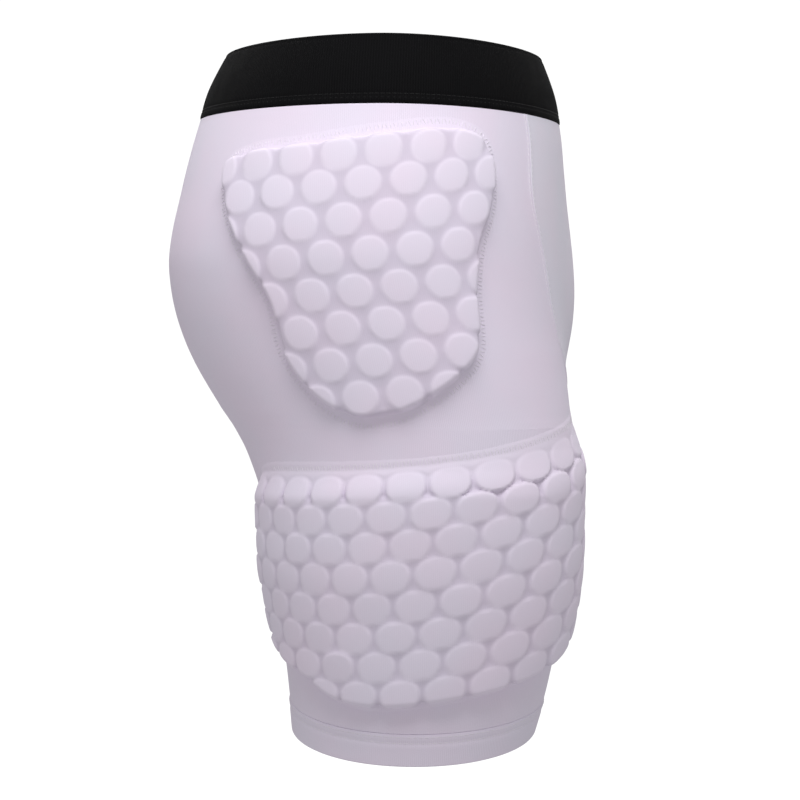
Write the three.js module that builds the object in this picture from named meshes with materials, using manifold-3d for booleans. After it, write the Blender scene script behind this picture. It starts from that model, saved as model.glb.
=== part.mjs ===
// Padded compression shorts: a stretch body with a front panel, an elastic waistband, two hem bands,
// and a hip pad and a thigh pad of raised foam cells on each side.
// Millimetres, +Z up, the front faces -Y. The origin is the middle of the waist opening.
import * as THREE from "three";
import { mergeVertices } from "three/addons/utils/BufferGeometryUtils.js";
import Module from "manifold-3d";

const wasm = await Module();
wasm.setup();

// Driving sizes of the body
const rise = 232; // waist rim down to the crotch
const inseamLength = 180; // crotch down to the hem, along the leg
const hipHalfWidth = 172;
const frontReach = 112; // belly and thigh fronts, ahead of the waist's axis
const seatReach = 132; // seat, behind the waist's axis
const legSpread = 93; // leg axis beside the centre plane
const pouchDepth = 18.5;
const pouchHalfWidth = 36;
const hemSlope = 0.2; // fall of the hem toward the outside of the leg, per millimetre
const hipRoundness = 2.04; // exponent of each quarter of a section: 2 is an ellipse
const waistRoundness = 1.8;
const frontDip = 5.5; // fall of the rim at the front, below its sides
const backDip = 3.5;

// Driving sizes of the cloth and its bands
const fabric = 1.5;
const waistbandHeight = 42;
const waistbandWall = 2.2;
const waistbandProud = 0.5; // how far it stands out past the body fabric
const hemHeight = 19;
const hemWall = 2.4;
const hemProud = 0.6;
const frontPanelHalfWidth = 104;
const frontPanelDrop = 236; // waist rim down to the panel's lowest point
const panelBarStart = 18; // the front panel is cut this far ahead of the waist's axis
const seamGap = 0.3;

// Driving sizes of the pads. A pad is laid out flat, then wrapped on the body: forward is measured
// round the body from the side line, and drop from the waist rim.
const padClearance = 0.9; // under the pad's facets, over those of the body
const patchWall = 1.3;
const grooveHeight = 3.4;
const cellHeight = 7.2;
const cellShare = 0.76; // width of a cell's flat top, as a share of its place in the pattern
const outlineStep = 14;

const hipPad = {
  middle: -14,
  halfWidth: 85,
  top: 60,
  height: 162,
  margin: 9,
  climb: 0.1, // rise of the rows toward the front
  bow: 0,
  pitch: 24.6,
  widen: 0,
  rowStep: 19.9,
  firstRowDrop: 70,
  rows: 8,
  firstCell: 2,
  lean: 1,
};
const thighPad = {
  middle: 20,
  halfWidth: 137,
  top: 249,
  height: 128,
  margin: 0,
  climb: 0.1,
  bow: 0.0005,
  pitch: 24.2,
  widen: 0.7,
  rowStep: 15.3,
  firstRowDrop: 262.5,
  rows: 8,
  firstCell: -7,
  lean: 1.3,
};

// Sections of one half of the body. level runs from 0 at the rim to 1 at the crotch and 2 at the hem.
// out is a share of hipHalfWidth, front of frontReach, back and middle of seatReach, pouch of pouchDepth,
// and frontX, backX and inner of legSpread. riseFront and riseBack say how much of the front and the back
// is left where the half meets the centre plane.
const sectionColumns = [
  "level", "out", "front", "back", "frontX", "backX", "riseFront", "riseBack", "middle", "inner", "pouch",
];
const sectionShares = [
  [0, 0.773, 0.875, 0.75, 0, 0, 1, 1, 0, 0, 0],
  [0.086, 0.828, 0.938, 0.822, 0, 0.09, 1, 1, 0.008, 0, 0],
  [0.181, 0.872, 0.979, 0.867, 0, 0.26, 1, 0.995, 0.015, 0, 0.03],
  [0.388, 0.948, 0.994, 0.949, 0.09, 0.49, 1, 0.97, 0.015, 0, 0.16],
  [0.573, 0.988, 0.998, 1, 0.26, 0.61, 0.99, 0.93, 0, 0, 0.49],
  [0.668, 0.994, 0.989, 0.98, 0.41, 0.645, 0.97, 0.89, -0.03, 0, 0.84],
  [0.767, 1, 0.98, 0.93, 0.59, 0.667, 0.93, 0.83, -0.068, 0, 1],
  [0.84, 1.003, 0.982, 0.87, 0.72, 0.71, 0.86, 0.73, -0.098, 0, 0.865],
  [0.914, 1.006, 0.993, 0.792, 0.82, 0.763, 0.71, 0.56, -0.121, 0, 0.6],
  [0.97, 1.009, 1.004, 0.727, 0.88, 0.817, 0.43, 0.33, -0.136, 0, 0.27],
  [1, 1.012, 1.009, 0.689, 0.915, 0.85, 0, 0, -0.144, 0, 0],
  [1.1, 1.017, 1.013, 0.617, 0.957, 0.914, 0, 0, -0.152, 0.032, 0],
  [1.256, 1.02, 1.009, 0.553, 0.99, 0.99, 0, 0, -0.152, 0.065, 0],
  [1.417, 1.015, 1.004, 0.538, 1, 1, 0, 0, -0.152, 0.086, 0],
  [1.578, 0.997, 0.977, 0.495, 1, 1, 0, 0, -0.152, 0.118, 0],
  [1.739, 0.977, 0.918, 0.4545, 1, 1, 0, 0, -0.152, 0.161, 0],
  [1.878, 0.962, 0.866, 0.432, 1, 1, 0, 0, -0.144, 0.194, 0],
  [2, 0.951, 0.808, 0.417, 1, 1, 0, 0, -0.136, 0.215, 0],
];
const sectionScale = {
  level: 1,
  out: hipHalfWidth,
  front: frontReach,
  back: seatReach,
  frontX: legSpread,
  backX: legSpread,
  riseFront: 1,
  riseBack: 1,
  middle: seatReach,
  inner: legSpread,
  pouch: pouchDepth,
};

// Outline of the front panel: side is a share of frontPanelHalfWidth, drop of frontPanelDrop.
const frontPanelShares = [
  { side: 0.84, drop: 0.1 },
  { side: 0.86, drop: 0.2 },
  { side: 1, drop: 0.43 },
  { side: 0.97, drop: 0.56 },
  { side: 0.96, drop: 0.66 },
  { side: 0.92, drop: 0.75 },
  { side: 0.78, drop: 0.83 },
  { side: 0.5, drop: 0.91 },
  { side: 0.22, drop: 0.97 },
  { side: 0, drop: 1 },
];

// Outlines of the raised foam, laid flat: across is a share of halfWidth each way from the middle,
// down a share of height.
const hipPadShares = [
  { across: -0.99, down: 0.04 },
  { across: -0.99, down: 0.17 },
  { across: -0.85, down: 0.35 },
  { across: -0.67, down: 0.55 },
  { across: -0.65, down: 0.75 },
  { across: -0.47, down: 0.91 },
  { across: -0.22, down: 0.995 },
  { across: 0.07, down: 0.995 },
  { across: 0.49, down: 0.895 },
  { across: 0.69, down: 0.8 },
  { across: 0.78, down: 0.585 },
  { across: 0.87, down: 0.43 },
  { across: 1, down: 0.265 },
  { across: 0.95, down: 0.07 },
  { across: 0.71, down: 0.005 },
  { across: 0.16, down: 0 },
  { across: -0.36, down: 0.01 },
  { across: -0.82, down: 0.01 },
];
const thighPadShares = [
  { across: -0.97, down: 0.03 },
  { across: -1, down: 0.14 },
  { across: -1, down: 0.62 },
  { across: -0.93, down: 0.77 },
  { across: -0.82, down: 0.85 },
  { across: -0.65, down: 0.9 },
  { across: -0.51, down: 0.97 },
  { across: -0.36, down: 1 },
  { across: 0, down: 1 },
  { across: 0.58, down: 1 },
  { across: 0.8, down: 0.96 },
  { across: 0.93, down: 0.83 },
  { across: 1, down: 0.63 },
  { across: 1, down: 0.14 },
  { across: 0.97, down: 0.03 },
  { across: 0.9, down: 0 },
  { across: 0, down: 0 },
  { across: -0.9, down: 0 },
];

// How finely the body is made
const upperSpacing = 1.9; // powers that draw rows together toward the crotch
const lowerSpacing = 1.5;
const netUpperRows = 17;
const netLowerRows = 12;
const netColumns = 20; // on the front, and again on the back
const wallColumns = 12;
const bodyUpperRows = 8;
const bodyLowerRows = 6;
const quarterSteps = 24;
const relaxPasses = 12;
const relaxHalfWidth = 40;
const relaxStart = 0.43; // shares of the rise where the easing starts and is full
const relaxFull = 0.69;
const relaxFade = 0.22; // shares of the inseam where it starts to fade and has ended
const relaxEnd = 0.55;
const slopeStart = 0.1; // share of the inseam where the hem's slope starts
const normalStep = 2;
const leastAngle = 0.02;

const bodyLength = rise + inseamLength;
const dropAt = (level) => Math.min(level, 1) * rise + Math.max(level - 1, 0) * inseamLength;
const clamp = (value, low, high) => Math.min(Math.max(value, low), high);
const mirrored = (point) => new THREE.Vector3(-point.x, point.y, point.z);

// Table rows in millimetres, each with its drop from the rim
const sections = sectionShares.map((shares) => {
  const row = {};
  sectionColumns.forEach((name, k) => {
    row[name] = shares[k] * sectionScale[name];
  });
  row.drop = dropAt(row.level);
  return row;
});

// One column of the table at a drop, by a cubic that never overshoots its stations
function columnAt(name, drop) {
  const last = sections.length - 1;
  let k = sections.findIndex((row) => row.drop > drop) - 1;
  if (k < 0) k = last - 1;
  const rate = (i) => (sections[i + 1][name] - sections[i][name]) / (sections[i + 1].drop - sections[i].drop);
  const slope = (i) => {
    if (i === 0) return rate(0);
    if (i === last) return rate(last - 1);
    const before = rate(i - 1);
    const after = rate(i);
    return before * after > 0 ? (2 * before * after) / (before + after) : 0;
  };
  const step = sections[k + 1].drop - sections[k].drop;
  const t = (drop - sections[k].drop) / step;
  return (
    (2 * t ** 3 - 3 * t ** 2 + 1) * sections[k][name] +
    (t ** 3 - 2 * t ** 2 + t) * step * slope(k) +
    (3 * t ** 2 - 2 * t ** 3) * sections[k + 1][name] +
    (t ** 3 - t ** 2) * step * slope(k + 1)
  );
}

function sectionAt(drop) {
  const row = {};
  sectionColumns.slice(1).forEach((name) => {
    row[name] = columnAt(name, drop);
  });
  return row;
}

const smooth = (t) => t * t * (3 - 2 * t);

// Fall of the hem, which starts a little below the crotch
function slopeAt(drop) {
  const start = rise + inseamLength * slopeStart;
  return hemSlope * smooth(clamp((drop - start) / (bodyLength - start), 0, 1));
}

// Fall of the rim and the rows below it, which has died out at the crotch
function dipAt(drop, y) {
  const share = y / (y < 0 ? frontReach : seatReach);
  return (y < 0 ? frontDip : backDip) * share * share * clamp(1 - drop / rise, 0, 1) ** 2;
}

const roundnessAt = (drop) =>
  waistRoundness + (hipRoundness - waistRoundness) * smooth(clamp((2 * drop) / rise, 0, 1));

// A quarter of a section: from its end on the side (angle 90 degrees) to its front or back (angle 0)
function quarter(fromX, reachX, middle, reachY, startAngle, endAngle, roundness) {
  const points = [];
  const power = 2 / roundness;
  for (let i = 0; i <= quarterSteps; i += 1) {
    const angle = startAngle + ((endAngle - startAngle) * i) / quarterSteps;
    const x = fromX + reachX * Math.max(Math.sin(angle), 0) ** power;
    const y = middle + reachY * Math.max(Math.cos(angle), 0) ** power;
    points.push(new THREE.Vector2(x, y));
  }
  return points;
}

// The inner quarter, which stops on the centre plane above the crotch and on the inseam below it
function innerQuarter(peakX, innerX, middle, reachY, kept, roundness) {
  const angle = Math.acos(clamp(kept, 0, 1) ** (roundness / 2));
  const start = new THREE.Vector2(innerX, middle + reachY * clamp(kept, 0, 1));
  if (angle < leastAngle) return [start, new THREE.Vector2(peakX, middle + reachY)];
  const reachX = (innerX - peakX) / Math.sin(angle) ** (2 / roundness);
  return quarter(peakX, reachX, middle, reachY, angle, 0, roundness);
}

// One half's ring at a drop, on the wearer's right (-X): front from the centre plane to the side line,
// and back from the side line to the centre plane
function ringAt(drop) {
  const s = sectionAt(drop);
  const frontY = -(s.front + s.middle);
  const backY = s.back - s.middle;
  const round = roundnessAt(drop);
  const right = Math.PI / 2;
  const front = innerQuarter(-s.frontX, -s.inner, s.middle, frontY, s.riseFront, round);
  front.push(...quarter(-s.frontX, s.frontX - s.out, s.middle, frontY, 0, right, round).slice(1));
  const back = quarter(-s.backX, s.backX - s.out, s.middle, backY, right, 0, round);
  back.push(...innerQuarter(-s.backX, -s.inner, s.middle, backY, s.riseBack, round).reverse().slice(1));
  front.forEach((p) => {
    const facing = clamp((s.middle - p.y) / (s.front + s.middle), 0, 1);
    p.y -= s.pouch * facing * Math.exp(-((p.x / pouchHalfWidth) ** 2));
  });
  return { front, back };
}

// A polyline's points at even distances, and its length
function evenPoints(line, count) {
  const reached = [0];
  for (let i = 1; i < line.length; i += 1) {
    reached.push(reached[i - 1] + line[i].distanceTo(line[i - 1]));
  }
  const length = reached[line.length - 1];
  const points = [];
  let k = 0;
  for (let i = 0; i <= count; i += 1) {
    const wanted = (length * i) / count;
    while (k < line.length - 2 && reached[k + 1] < wanted) k += 1;
    const step = Math.max(reached[k + 1] - reached[k], 1e-9);
    points.push(line[k].clone().lerp(line[k + 1], clamp((wanted - reached[k]) / step, 0, 1)));
  }
  return { points, length };
}

// Drops of a stretch of rows, closer together toward the crotch
function upperDrops(from, count) {
  const start = 1 - (1 - from / rise) ** (1 / upperSpacing);
  return Array.from({ length: count + 1 }, (_, i) => {
    const t = start + ((1 - start) * i) / count;
    return rise * (1 - Math.max(1 - t, 0) ** upperSpacing);
  });
}
function lowerDrops(to, count) {
  return Array.from({ length: count + 1 }, (_, i) => rise + (to - rise) * (i / count) ** lowerSpacing);
}

// The net that carries the surface: rows of points round the right half
const net = [...upperDrops(0, netUpperRows), ...lowerDrops(bodyLength, netLowerRows).slice(1)].map((drop) => {
  const { front, back } = ringAt(drop);
  const evenFront = evenPoints(front, netColumns);
  const evenBack = evenPoints(back, netColumns);
  const flat = [...evenFront.points, ...evenBack.points.slice(1)];
  const points = flat.map((p) => {
    const lift = slopeAt(drop) * (p.x + legSpread) - dipAt(drop, p.y);
    return new THREE.Vector3(p.x, p.y, lift - drop);
  });
  return { drop, points, frontLength: evenFront.length, backLength: evenBack.length };
});
const crotchRow = netUpperRows;
const lastColumn = 2 * netColumns;

// A net point, also past the ends of a row: the other half above the crotch, round the leg from there down
function netPoint(row, column) {
  const r = clamp(row, 0, net.length - 1);
  const points = net[r].points;
  if (column >= 0 && column <= lastColumn) return points[column];
  if (r < crotchRow) return mirrored(points[column < 0 ? -column : 2 * lastColumn - column]);
  return points[(column + lastColumn) % lastColumn];
}

// Eases the net near the centre plane, so the two halves run into each other without a crease
function relaxNet() {
  const moved = net.map((row, r) =>
    row.points.map((point, c) => {
      const nearCentre = Math.exp(-((point.x / relaxHalfWidth) ** 2));
      const level = row.drop < rise ? row.drop / rise : 1 + (row.drop - rise) / inseamLength;
      const below = clamp((level - relaxStart) / (relaxFull - relaxStart), 0, 1);
      const above = clamp((1 + relaxEnd - level) / (relaxEnd - relaxFade), 0, 1);
      const weight = 0.5 * nearCentre * below * above;
      if (weight < 1e-4) return point.clone();
      const around = [netPoint(r - 1, c), netPoint(r + 1, c), netPoint(r, c - 1), netPoint(r, c + 1)];
      const mean = new THREE.Vector3();
      around.forEach((p) => mean.addScaledVector(p, 1 / around.length));
      return point.clone().lerp(mean, weight);
    }),
  );
  moved.forEach((points, r) => {
    const ends = [points[0], points[lastColumn]];
    if (r >= crotchRow) {
      const shared = ends[0].clone().add(ends[1]).multiplyScalar(0.5);
      ends.forEach((end) => end.copy(shared));
    }
    if (r <= crotchRow) {
      ends.forEach((end) => end.setX(0));
    }
    net[r].points = points;
  });
}
for (let pass = 0; pass < relaxPasses; pass += 1) relaxNet();

// Row of the net that a drop falls in, with the part of the way to the next row
function netRowAt(drop) {
  const k = clamp(net.findIndex((row) => row.drop > drop) - 1, 0, net.length - 2);
  const row = drop >= bodyLength ? net.length - 2 : k;
  return { row, part: (drop - net[row].drop) / (net[row + 1].drop - net[row].drop) };
}

function splineOf(points, t) {
  const [a, b, c, d] = points;
  const at = (axis) =>
    0.5 *
    (2 * b[axis] +
      (c[axis] - a[axis]) * t +
      (2 * a[axis] - 5 * b[axis] + 4 * c[axis] - d[axis]) * t ** 2 +
      (3 * b[axis] - a[axis] - 3 * c[axis] + d[axis]) * t ** 3);
  return new THREE.Vector3(at("x"), at("y"), at("z"));
}

// A point of the body's outer surface. column runs from 0 at the front to lastColumn at the back.
function surfacePoint(drop, column) {
  const { row, part } = netRowAt(drop);
  const first = Math.floor(column);
  const across = [-1, 0, 1, 2].map((dr) =>
    splineOf([-1, 0, 1, 2].map((dc) => netPoint(row + dr, first + dc)), column - first),
  );
  return splineOf(across, part);
}

function surfaceNormal(drop, column) {
  const atCentre = column === 0 || column === lastColumn;
  if (atCentre && Math.abs(drop - rise) < 1e-6) return new THREE.Vector3(0, 0, -1);
  const low = Math.min(drop + normalStep, bodyLength);
  const high = Math.max(drop - normalStep, 0);
  const down = surfacePoint(low, column).sub(surfacePoint(high, column));
  const back = surfacePoint(drop, column + 0.25).sub(surfacePoint(drop, column - 0.25));
  const normal = back.cross(down);
  if (atCentre && drop < rise) normal.x = 0;
  return normal.normalize();
}

const bodyPoint = (drop, column, height) =>
  surfacePoint(drop, column).addScaledVector(surfaceNormal(drop, column), height);

// The column at a distance round the body from the side line, forward positive
function columnOf(forward, drop) {
  const { row, part } = netRowAt(drop);
  const side = forward > 0 ? "frontLength" : "backLength";
  const length = net[row][side] + (net[row + 1][side] - net[row][side]) * part;
  return netColumns * (1 - forward / length);
}

// A growing list of triangles that becomes one geometry
class Faces {
  corners = [];

  triangle(a, b, c) {
    this.corners.push(a, b, c);
  }

  quad(a, b, c, d) {
    this.triangle(a, b, c);
    this.triangle(a, c, d);
  }

  addMirrored() {
    const copy = this.corners.map(mirrored);
    for (let i = 0; i < copy.length; i += 3) this.triangle(copy[i], copy[i + 2], copy[i + 1]);
  }

  geometry() {
    const raw = new THREE.BufferGeometry().setFromPoints(this.corners);
    return mergeVertices(raw, 1e-3);
  }
}

// A wall over the given drops of the right half, from inner to outer height over the surface
function wallFaces(drops, outer, inner) {
  const faces = new Faces();
  const columns = 2 * wallColumns;
  const grid = (height) =>
    drops.map((drop) =>
      Array.from({ length: columns + 1 }, (_, c) => bodyPoint(drop, (c * lastColumn) / columns, height)),
    );
  const outside = grid(outer);
  const inside = grid(inner);
  for (let r = 0; r < drops.length - 1; r += 1) {
    for (let c = 0; c < columns; c += 1) {
      faces.quad(outside[r][c], outside[r][c + 1], outside[r + 1][c + 1], outside[r + 1][c]);
      faces.quad(inside[r][c], inside[r + 1][c], inside[r + 1][c + 1], inside[r][c + 1]);
    }
  }
  const last = drops.length - 1;
  for (let c = 0; c < columns; c += 1) {
    faces.quad(outside[0][c + 1], outside[0][c], inside[0][c], inside[0][c + 1]);
    faces.quad(outside[last][c], outside[last][c + 1], inside[last][c + 1], inside[last][c]);
  }
  return faces;
}

// three.js geometry to solid and back
function solidOf(geometry) {
  const clean = geometry.clone();
  clean.deleteAttribute("normal");
  clean.deleteAttribute("uv");
  const merged = mergeVertices(clean, 1e-4);
  return new wasm.Manifold(
    new wasm.Mesh({
      numProp: 3,
      vertProperties: merged.attributes.position.array,
      triVerts: new Uint32Array(merged.index.array),
    }),
  );
}

function geometryOf(solid) {
  const mesh = solid.getMesh();
  const points = new Float32Array(mesh.numVert * 3);
  for (let i = 0; i < mesh.numVert; i += 1) {
    points.set(mesh.vertProperties.subarray(i * mesh.numProp, i * mesh.numProp + 3), i * 3);
  }
  return new THREE.BufferGeometry()
    .setAttribute("position", new THREE.BufferAttribute(points, 3))
    .setIndex(new THREE.BufferAttribute(new Uint32Array(mesh.triVerts), 1));
}

// The front panel's outline seen from the front, grown sideways and down by a distance, as a bar along Y
function frontPanelBar(grow) {
  const right = frontPanelShares.map(
    ({ side, drop }) =>
      new THREE.Vector2(-side * frontPanelHalfWidth - (side > 0 ? grow : 0), -drop * frontPanelDrop - grow),
  );
  const left = right
    .slice(0, -1)
    .reverse()
    .map((p) => new THREE.Vector2(-p.x, p.y));
  right[0].y = 0;
  left[left.length - 1].y = 0;
  const reach = 2 * frontReach;
  const bar = new THREE.ExtrudeGeometry(new THREE.Shape([...right, ...left]), {
    depth: reach,
    bevelEnabled: false,
  });
  bar.rotateX(Math.PI / 2);
  bar.translate(0, -panelBarStart, 0);
  return solidOf(bar);
}

// The closed outline of a pad, laid flat with forward to +X and up to +Y
function padOutline(pad, shares, margin) {
  const corners = shares.map(
    ({ across, down }) =>
      new THREE.Vector3(pad.middle + across * pad.halfWidth, -(pad.top + down * pad.height), 0),
  );
  const curve = new THREE.CatmullRomCurve3(corners, true, "centripetal");
  const count = Math.round(curve.getLength() / outlineStep);
  return Array.from({ length: count }, (_, i) => {
    const point = curve.getPointAt(i / count);
    const along = curve.getTangentAt(i / count);
    return new THREE.Vector2(point.x + along.y * margin, point.y - along.x * margin);
  });
}

function outlineBar(outline) {
  const shape = new THREE.Shape(outline);
  return solidOf(new THREE.ExtrudeGeometry(shape, { depth: 2 * cellHeight, bevelEnabled: false }));
}

// A point of the cell pattern, laid flat. place and row count cells, with halves between them.
function patternPoint(pad, place, row, height) {
  const forward = pad.firstCell + pad.pitch * place + pad.widen * place * place + pad.lean * row;
  return new THREE.Vector3(forward, -(pad.firstRowDrop + pad.rowStep * row), height);
}

const hexCorners = [
  [0, -2 / 3],
  [0.5, -1 / 3],
  [0.5, 1 / 3],
  [0, 2 / 3],
  [-0.5, 1 / 3],
  [-0.5, -1 / 3],
];

// A flat slab that covers a pad: grooves at one height, and in the pad's rows cell tops at another
function cellSlab(pad, top, groove) {
  const faces = new Faces();
  const cells = [];
  const reach = Math.ceil((pad.halfWidth + Math.abs(pad.middle) + pad.margin) / pad.pitch) + 1;
  for (let row = -2; row < pad.rows + 2; row += 1) {
    for (let place = -reach; place <= reach; place += 1) {
      cells.push({ place: place + (Math.abs(row) % 2) / 2, row });
    }
  }
  const names = new Set(cells.map(({ place, row }) => `${place},${row}`));
  cells.forEach(({ place, row }) => {
    const raised = top > groove && row >= 0 && row < pad.rows;
    const middle = patternPoint(pad, place, row, 0);
    const at = (k, share, height) => {
      const [dp, dr] = hexCorners[k % 6];
      const corner = patternPoint(pad, place + dp, row + dr, 0);
      return middle.clone().lerp(corner, share).setZ(height);
    };
    const low = (k) => at(k, 1, padClearance);
    const edge = (k) => at(k, 1, groove);
    const high = (k) => at(k, cellShare, top);
    const under = middle.clone().setZ(padClearance);
    const over = middle.clone().setZ(groove);
    for (let k = 0; k < 6; k += 1) {
      faces.triangle(under, low(k), low(k + 1));
      if (raised) faces.quad(edge(k), high(k), high(k + 1), edge(k + 1));
      else faces.triangle(over, edge(k + 1), edge(k));
      if (raised && k > 0 && k < 5) faces.triangle(high(0), high(k + 1), high(k));
      const [dp, dr] = hexCorners[k];
      const [ep, er] = hexCorners[(k + 1) % 6];
      const neighbour = `${place + dp + ep},${row + Math.round(dr + er)}`;
      if (!names.has(neighbour)) faces.quad(low(k), edge(k), edge(k + 1), low(k + 1));
    }
  });
  return solidOf(faces.geometry());
}

// A pad: raised cells cut to the outline, on a thin patch with a margin, wrapped on the right side
function padGeometry(pad, shares) {
  let solid = cellSlab(pad, padClearance + cellHeight, padClearance + grooveHeight).intersect(
    outlineBar(padOutline(pad, shares, 0)),
  );
  if (pad.margin > 0) {
    const patchTop = padClearance + patchWall;
    const margin = outlineBar(padOutline(pad, shares, pad.margin));
    solid = solid.add(cellSlab(pad, patchTop, patchTop).intersect(margin));
  }
  const geometry = geometryOf(solid);
  const position = geometry.attributes.position;
  for (let i = 0; i < position.count; i += 1) {
    const forward = position.getX(i);
    const drop = -position.getY(i) - pad.climb * forward - pad.bow * forward * forward;
    const place = bodyPoint(drop, columnOf(forward, drop), position.getZ(i));
    position.setXYZ(i, place.x, place.y, place.z);
  }
  return geometry;
}

function mirroredGeometry(geometry) {
  const copy = geometry.clone();
  copy.scale(-1, 1, 1);
  const index = copy.index.array;
  for (let i = 0; i < index.length; i += 3) [index[i + 1], index[i + 2]] = [index[i + 2], index[i + 1]];
  return copy;
}

// Materials
const stretchFabric = { color: 0xe3dbe6, roughness: 0.82, metalness: 0 };
const finish = {
  body: new THREE.MeshStandardMaterial(stretchFabric),
  frontPanel: new THREE.MeshStandardMaterial({ ...stretchFabric, color: 0xd6d0da }),
  waistband: new THREE.MeshStandardMaterial({ color: 0x121113, roughness: 0.7, metalness: 0 }),
  hem: new THREE.MeshStandardMaterial({ ...stretchFabric, color: 0xb9b3c0 }),
  pad: new THREE.MeshStandardMaterial({ ...stretchFabric, color: 0xe8e0ea }),
};

const shorts = new THREE.Group();
function addPiece(name, geometry, material) {
  const mesh = new THREE.Mesh(geometry, material);
  mesh.name = name;
  shorts.add(mesh);
}

// Waistband
const waistbandFaces = wallFaces([0, waistbandHeight], waistbandProud, waistbandProud - waistbandWall);
waistbandFaces.addMirrored();
addPiece("waistband", waistbandFaces.geometry(), finish.waistband);

// Body and front panel
const bodyTop = waistbandHeight + seamGap;
const bodyBottom = bodyLength - hemHeight - seamGap;
const bodyDrops = [...upperDrops(bodyTop, bodyUpperRows), ...lowerDrops(bodyBottom, bodyLowerRows).slice(1)];
const bodyFaces = wallFaces(bodyDrops, 0, -fabric);
bodyFaces.addMirrored();
const shell = solidOf(bodyFaces.geometry());
addPiece("body", geometryOf(shell.subtract(frontPanelBar(seamGap / 2))), finish.body);
addPiece("front_panel", geometryOf(shell.intersect(frontPanelBar(-seamGap / 2))), finish.frontPanel);

// Hem bands and pads, right and left
const hemFaces = wallFaces([bodyLength - hemHeight, bodyLength], hemProud, hemProud - hemWall);
const sided = [
  { name: "hem", geometry: hemFaces.geometry(), material: finish.hem },
  { name: "hip_pad", geometry: padGeometry(hipPad, hipPadShares), material: finish.pad },
  { name: "thigh_pad", geometry: padGeometry(thighPad, thighPadShares), material: finish.pad },
];
sided.forEach(({ name, geometry, material }) => {
  addPiece(`${name}_right`, geometry, material);
  addPiece(`${name}_left`, mirroredGeometry(geometry), material);
});

export default shorts;
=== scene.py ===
# Padded compression shorts: cloth, bands, foam-cell pads and stitching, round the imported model.
# Metres, +Z up, the front faces -Y. The right is the wearer's right, on -X.
import math

import bmesh
import bpy
import numpy as np
from bpy.props import FloatProperty, FloatVectorProperty, PointerProperty
from bpy.types import Operator, Panel, PropertyGroup
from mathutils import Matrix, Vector


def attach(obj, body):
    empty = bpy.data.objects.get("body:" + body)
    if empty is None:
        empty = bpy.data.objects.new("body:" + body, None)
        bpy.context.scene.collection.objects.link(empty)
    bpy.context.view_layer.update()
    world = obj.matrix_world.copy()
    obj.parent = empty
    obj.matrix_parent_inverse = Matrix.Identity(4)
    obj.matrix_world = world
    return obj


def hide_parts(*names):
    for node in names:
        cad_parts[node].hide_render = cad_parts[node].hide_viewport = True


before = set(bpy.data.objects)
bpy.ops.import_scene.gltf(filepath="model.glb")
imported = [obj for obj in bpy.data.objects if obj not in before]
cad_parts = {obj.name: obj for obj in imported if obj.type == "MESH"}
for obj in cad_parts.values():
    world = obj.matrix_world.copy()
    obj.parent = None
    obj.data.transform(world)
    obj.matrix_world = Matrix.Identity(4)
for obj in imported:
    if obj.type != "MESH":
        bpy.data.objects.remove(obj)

bl_info = {
    "name": "Padded Compression Shorts",
    "version": (1, 0, 0),
    "blender": (4, 5, 0),
    "location": "View3D > Sidebar > Shorts",
    "description": "Builds padded compression shorts with raised foam cells",
    "category": "Object",
}

MM = 0.001
SEED = 11
TINY = 1e-9
SHARP_ANGLE = math.radians(72)
# Points nearer to each other than this are joined, on the cloth and on the finer pads.
JOIN_DISTANCE = 0.02 * MM
PAD_JOIN_DISTANCE = 0.005 * MM

# The sections of one half of the body. level runs from 0 at the rim to 1 at the crotch and 2 at the hem.
# out is a share of the hip's half width, front of the front reach, back and middle of the seat reach,
# pouch of the pouch depth, and front_x, back_x and inner of the leg spread. rise_front and rise_back
# say how much of the front and the back is left where the half meets the centre plane.
SECTION_COLUMNS = (
    "level", "out", "front", "back", "front_x", "back_x", "rise_front", "rise_back", "middle", "inner",
    "pouch",
)
SECTION_SHARES = (
    (0, 0.773, 0.875, 0.75, 0, 0, 1, 1, 0, 0, 0),
    (0.086, 0.828, 0.938, 0.822, 0, 0.09, 1, 1, 0.008, 0, 0),
    (0.181, 0.872, 0.979, 0.867, 0, 0.26, 1, 0.995, 0.015, 0, 0.03),
    (0.388, 0.948, 0.994, 0.949, 0.09, 0.49, 1, 0.97, 0.015, 0, 0.16),
    (0.573, 0.988, 0.998, 1, 0.26, 0.61, 0.99, 0.93, 0, 0, 0.49),
    (0.668, 0.994, 0.989, 0.98, 0.41, 0.645, 0.97, 0.89, -0.03, 0, 0.84),
    (0.767, 1, 0.98, 0.93, 0.59, 0.667, 0.93, 0.83, -0.068, 0, 1),
    (0.84, 1.003, 0.982, 0.87, 0.72, 0.71, 0.86, 0.73, -0.098, 0, 0.865),
    (0.914, 1.006, 0.993, 0.792, 0.82, 0.763, 0.71, 0.56, -0.121, 0, 0.6),
    (0.97, 1.009, 1.004, 0.727, 0.88, 0.817, 0.43, 0.33, -0.136, 0, 0.27),
    (1, 1.012, 1.009, 0.689, 0.915, 0.85, 0, 0, -0.144, 0, 0),
    (1.1, 1.017, 1.013, 0.617, 0.957, 0.914, 0, 0, -0.152, 0.032, 0),
    (1.256, 1.02, 1.009, 0.553, 0.99, 0.99, 0, 0, -0.152, 0.065, 0),
    (1.417, 1.015, 1.004, 0.538, 1, 1, 0, 0, -0.152, 0.086, 0),
    (1.578, 0.997, 0.977, 0.495, 1, 1, 0, 0, -0.152, 0.118, 0),
    (1.739, 0.977, 0.918, 0.4545, 1, 1, 0, 0, -0.152, 0.161, 0),
    (1.878, 0.962, 0.866, 0.432, 1, 1, 0, 0, -0.144, 0.194, 0),
    (2, 0.951, 0.808, 0.417, 1, 1, 0, 0, -0.136, 0.215, 0),
)

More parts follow.
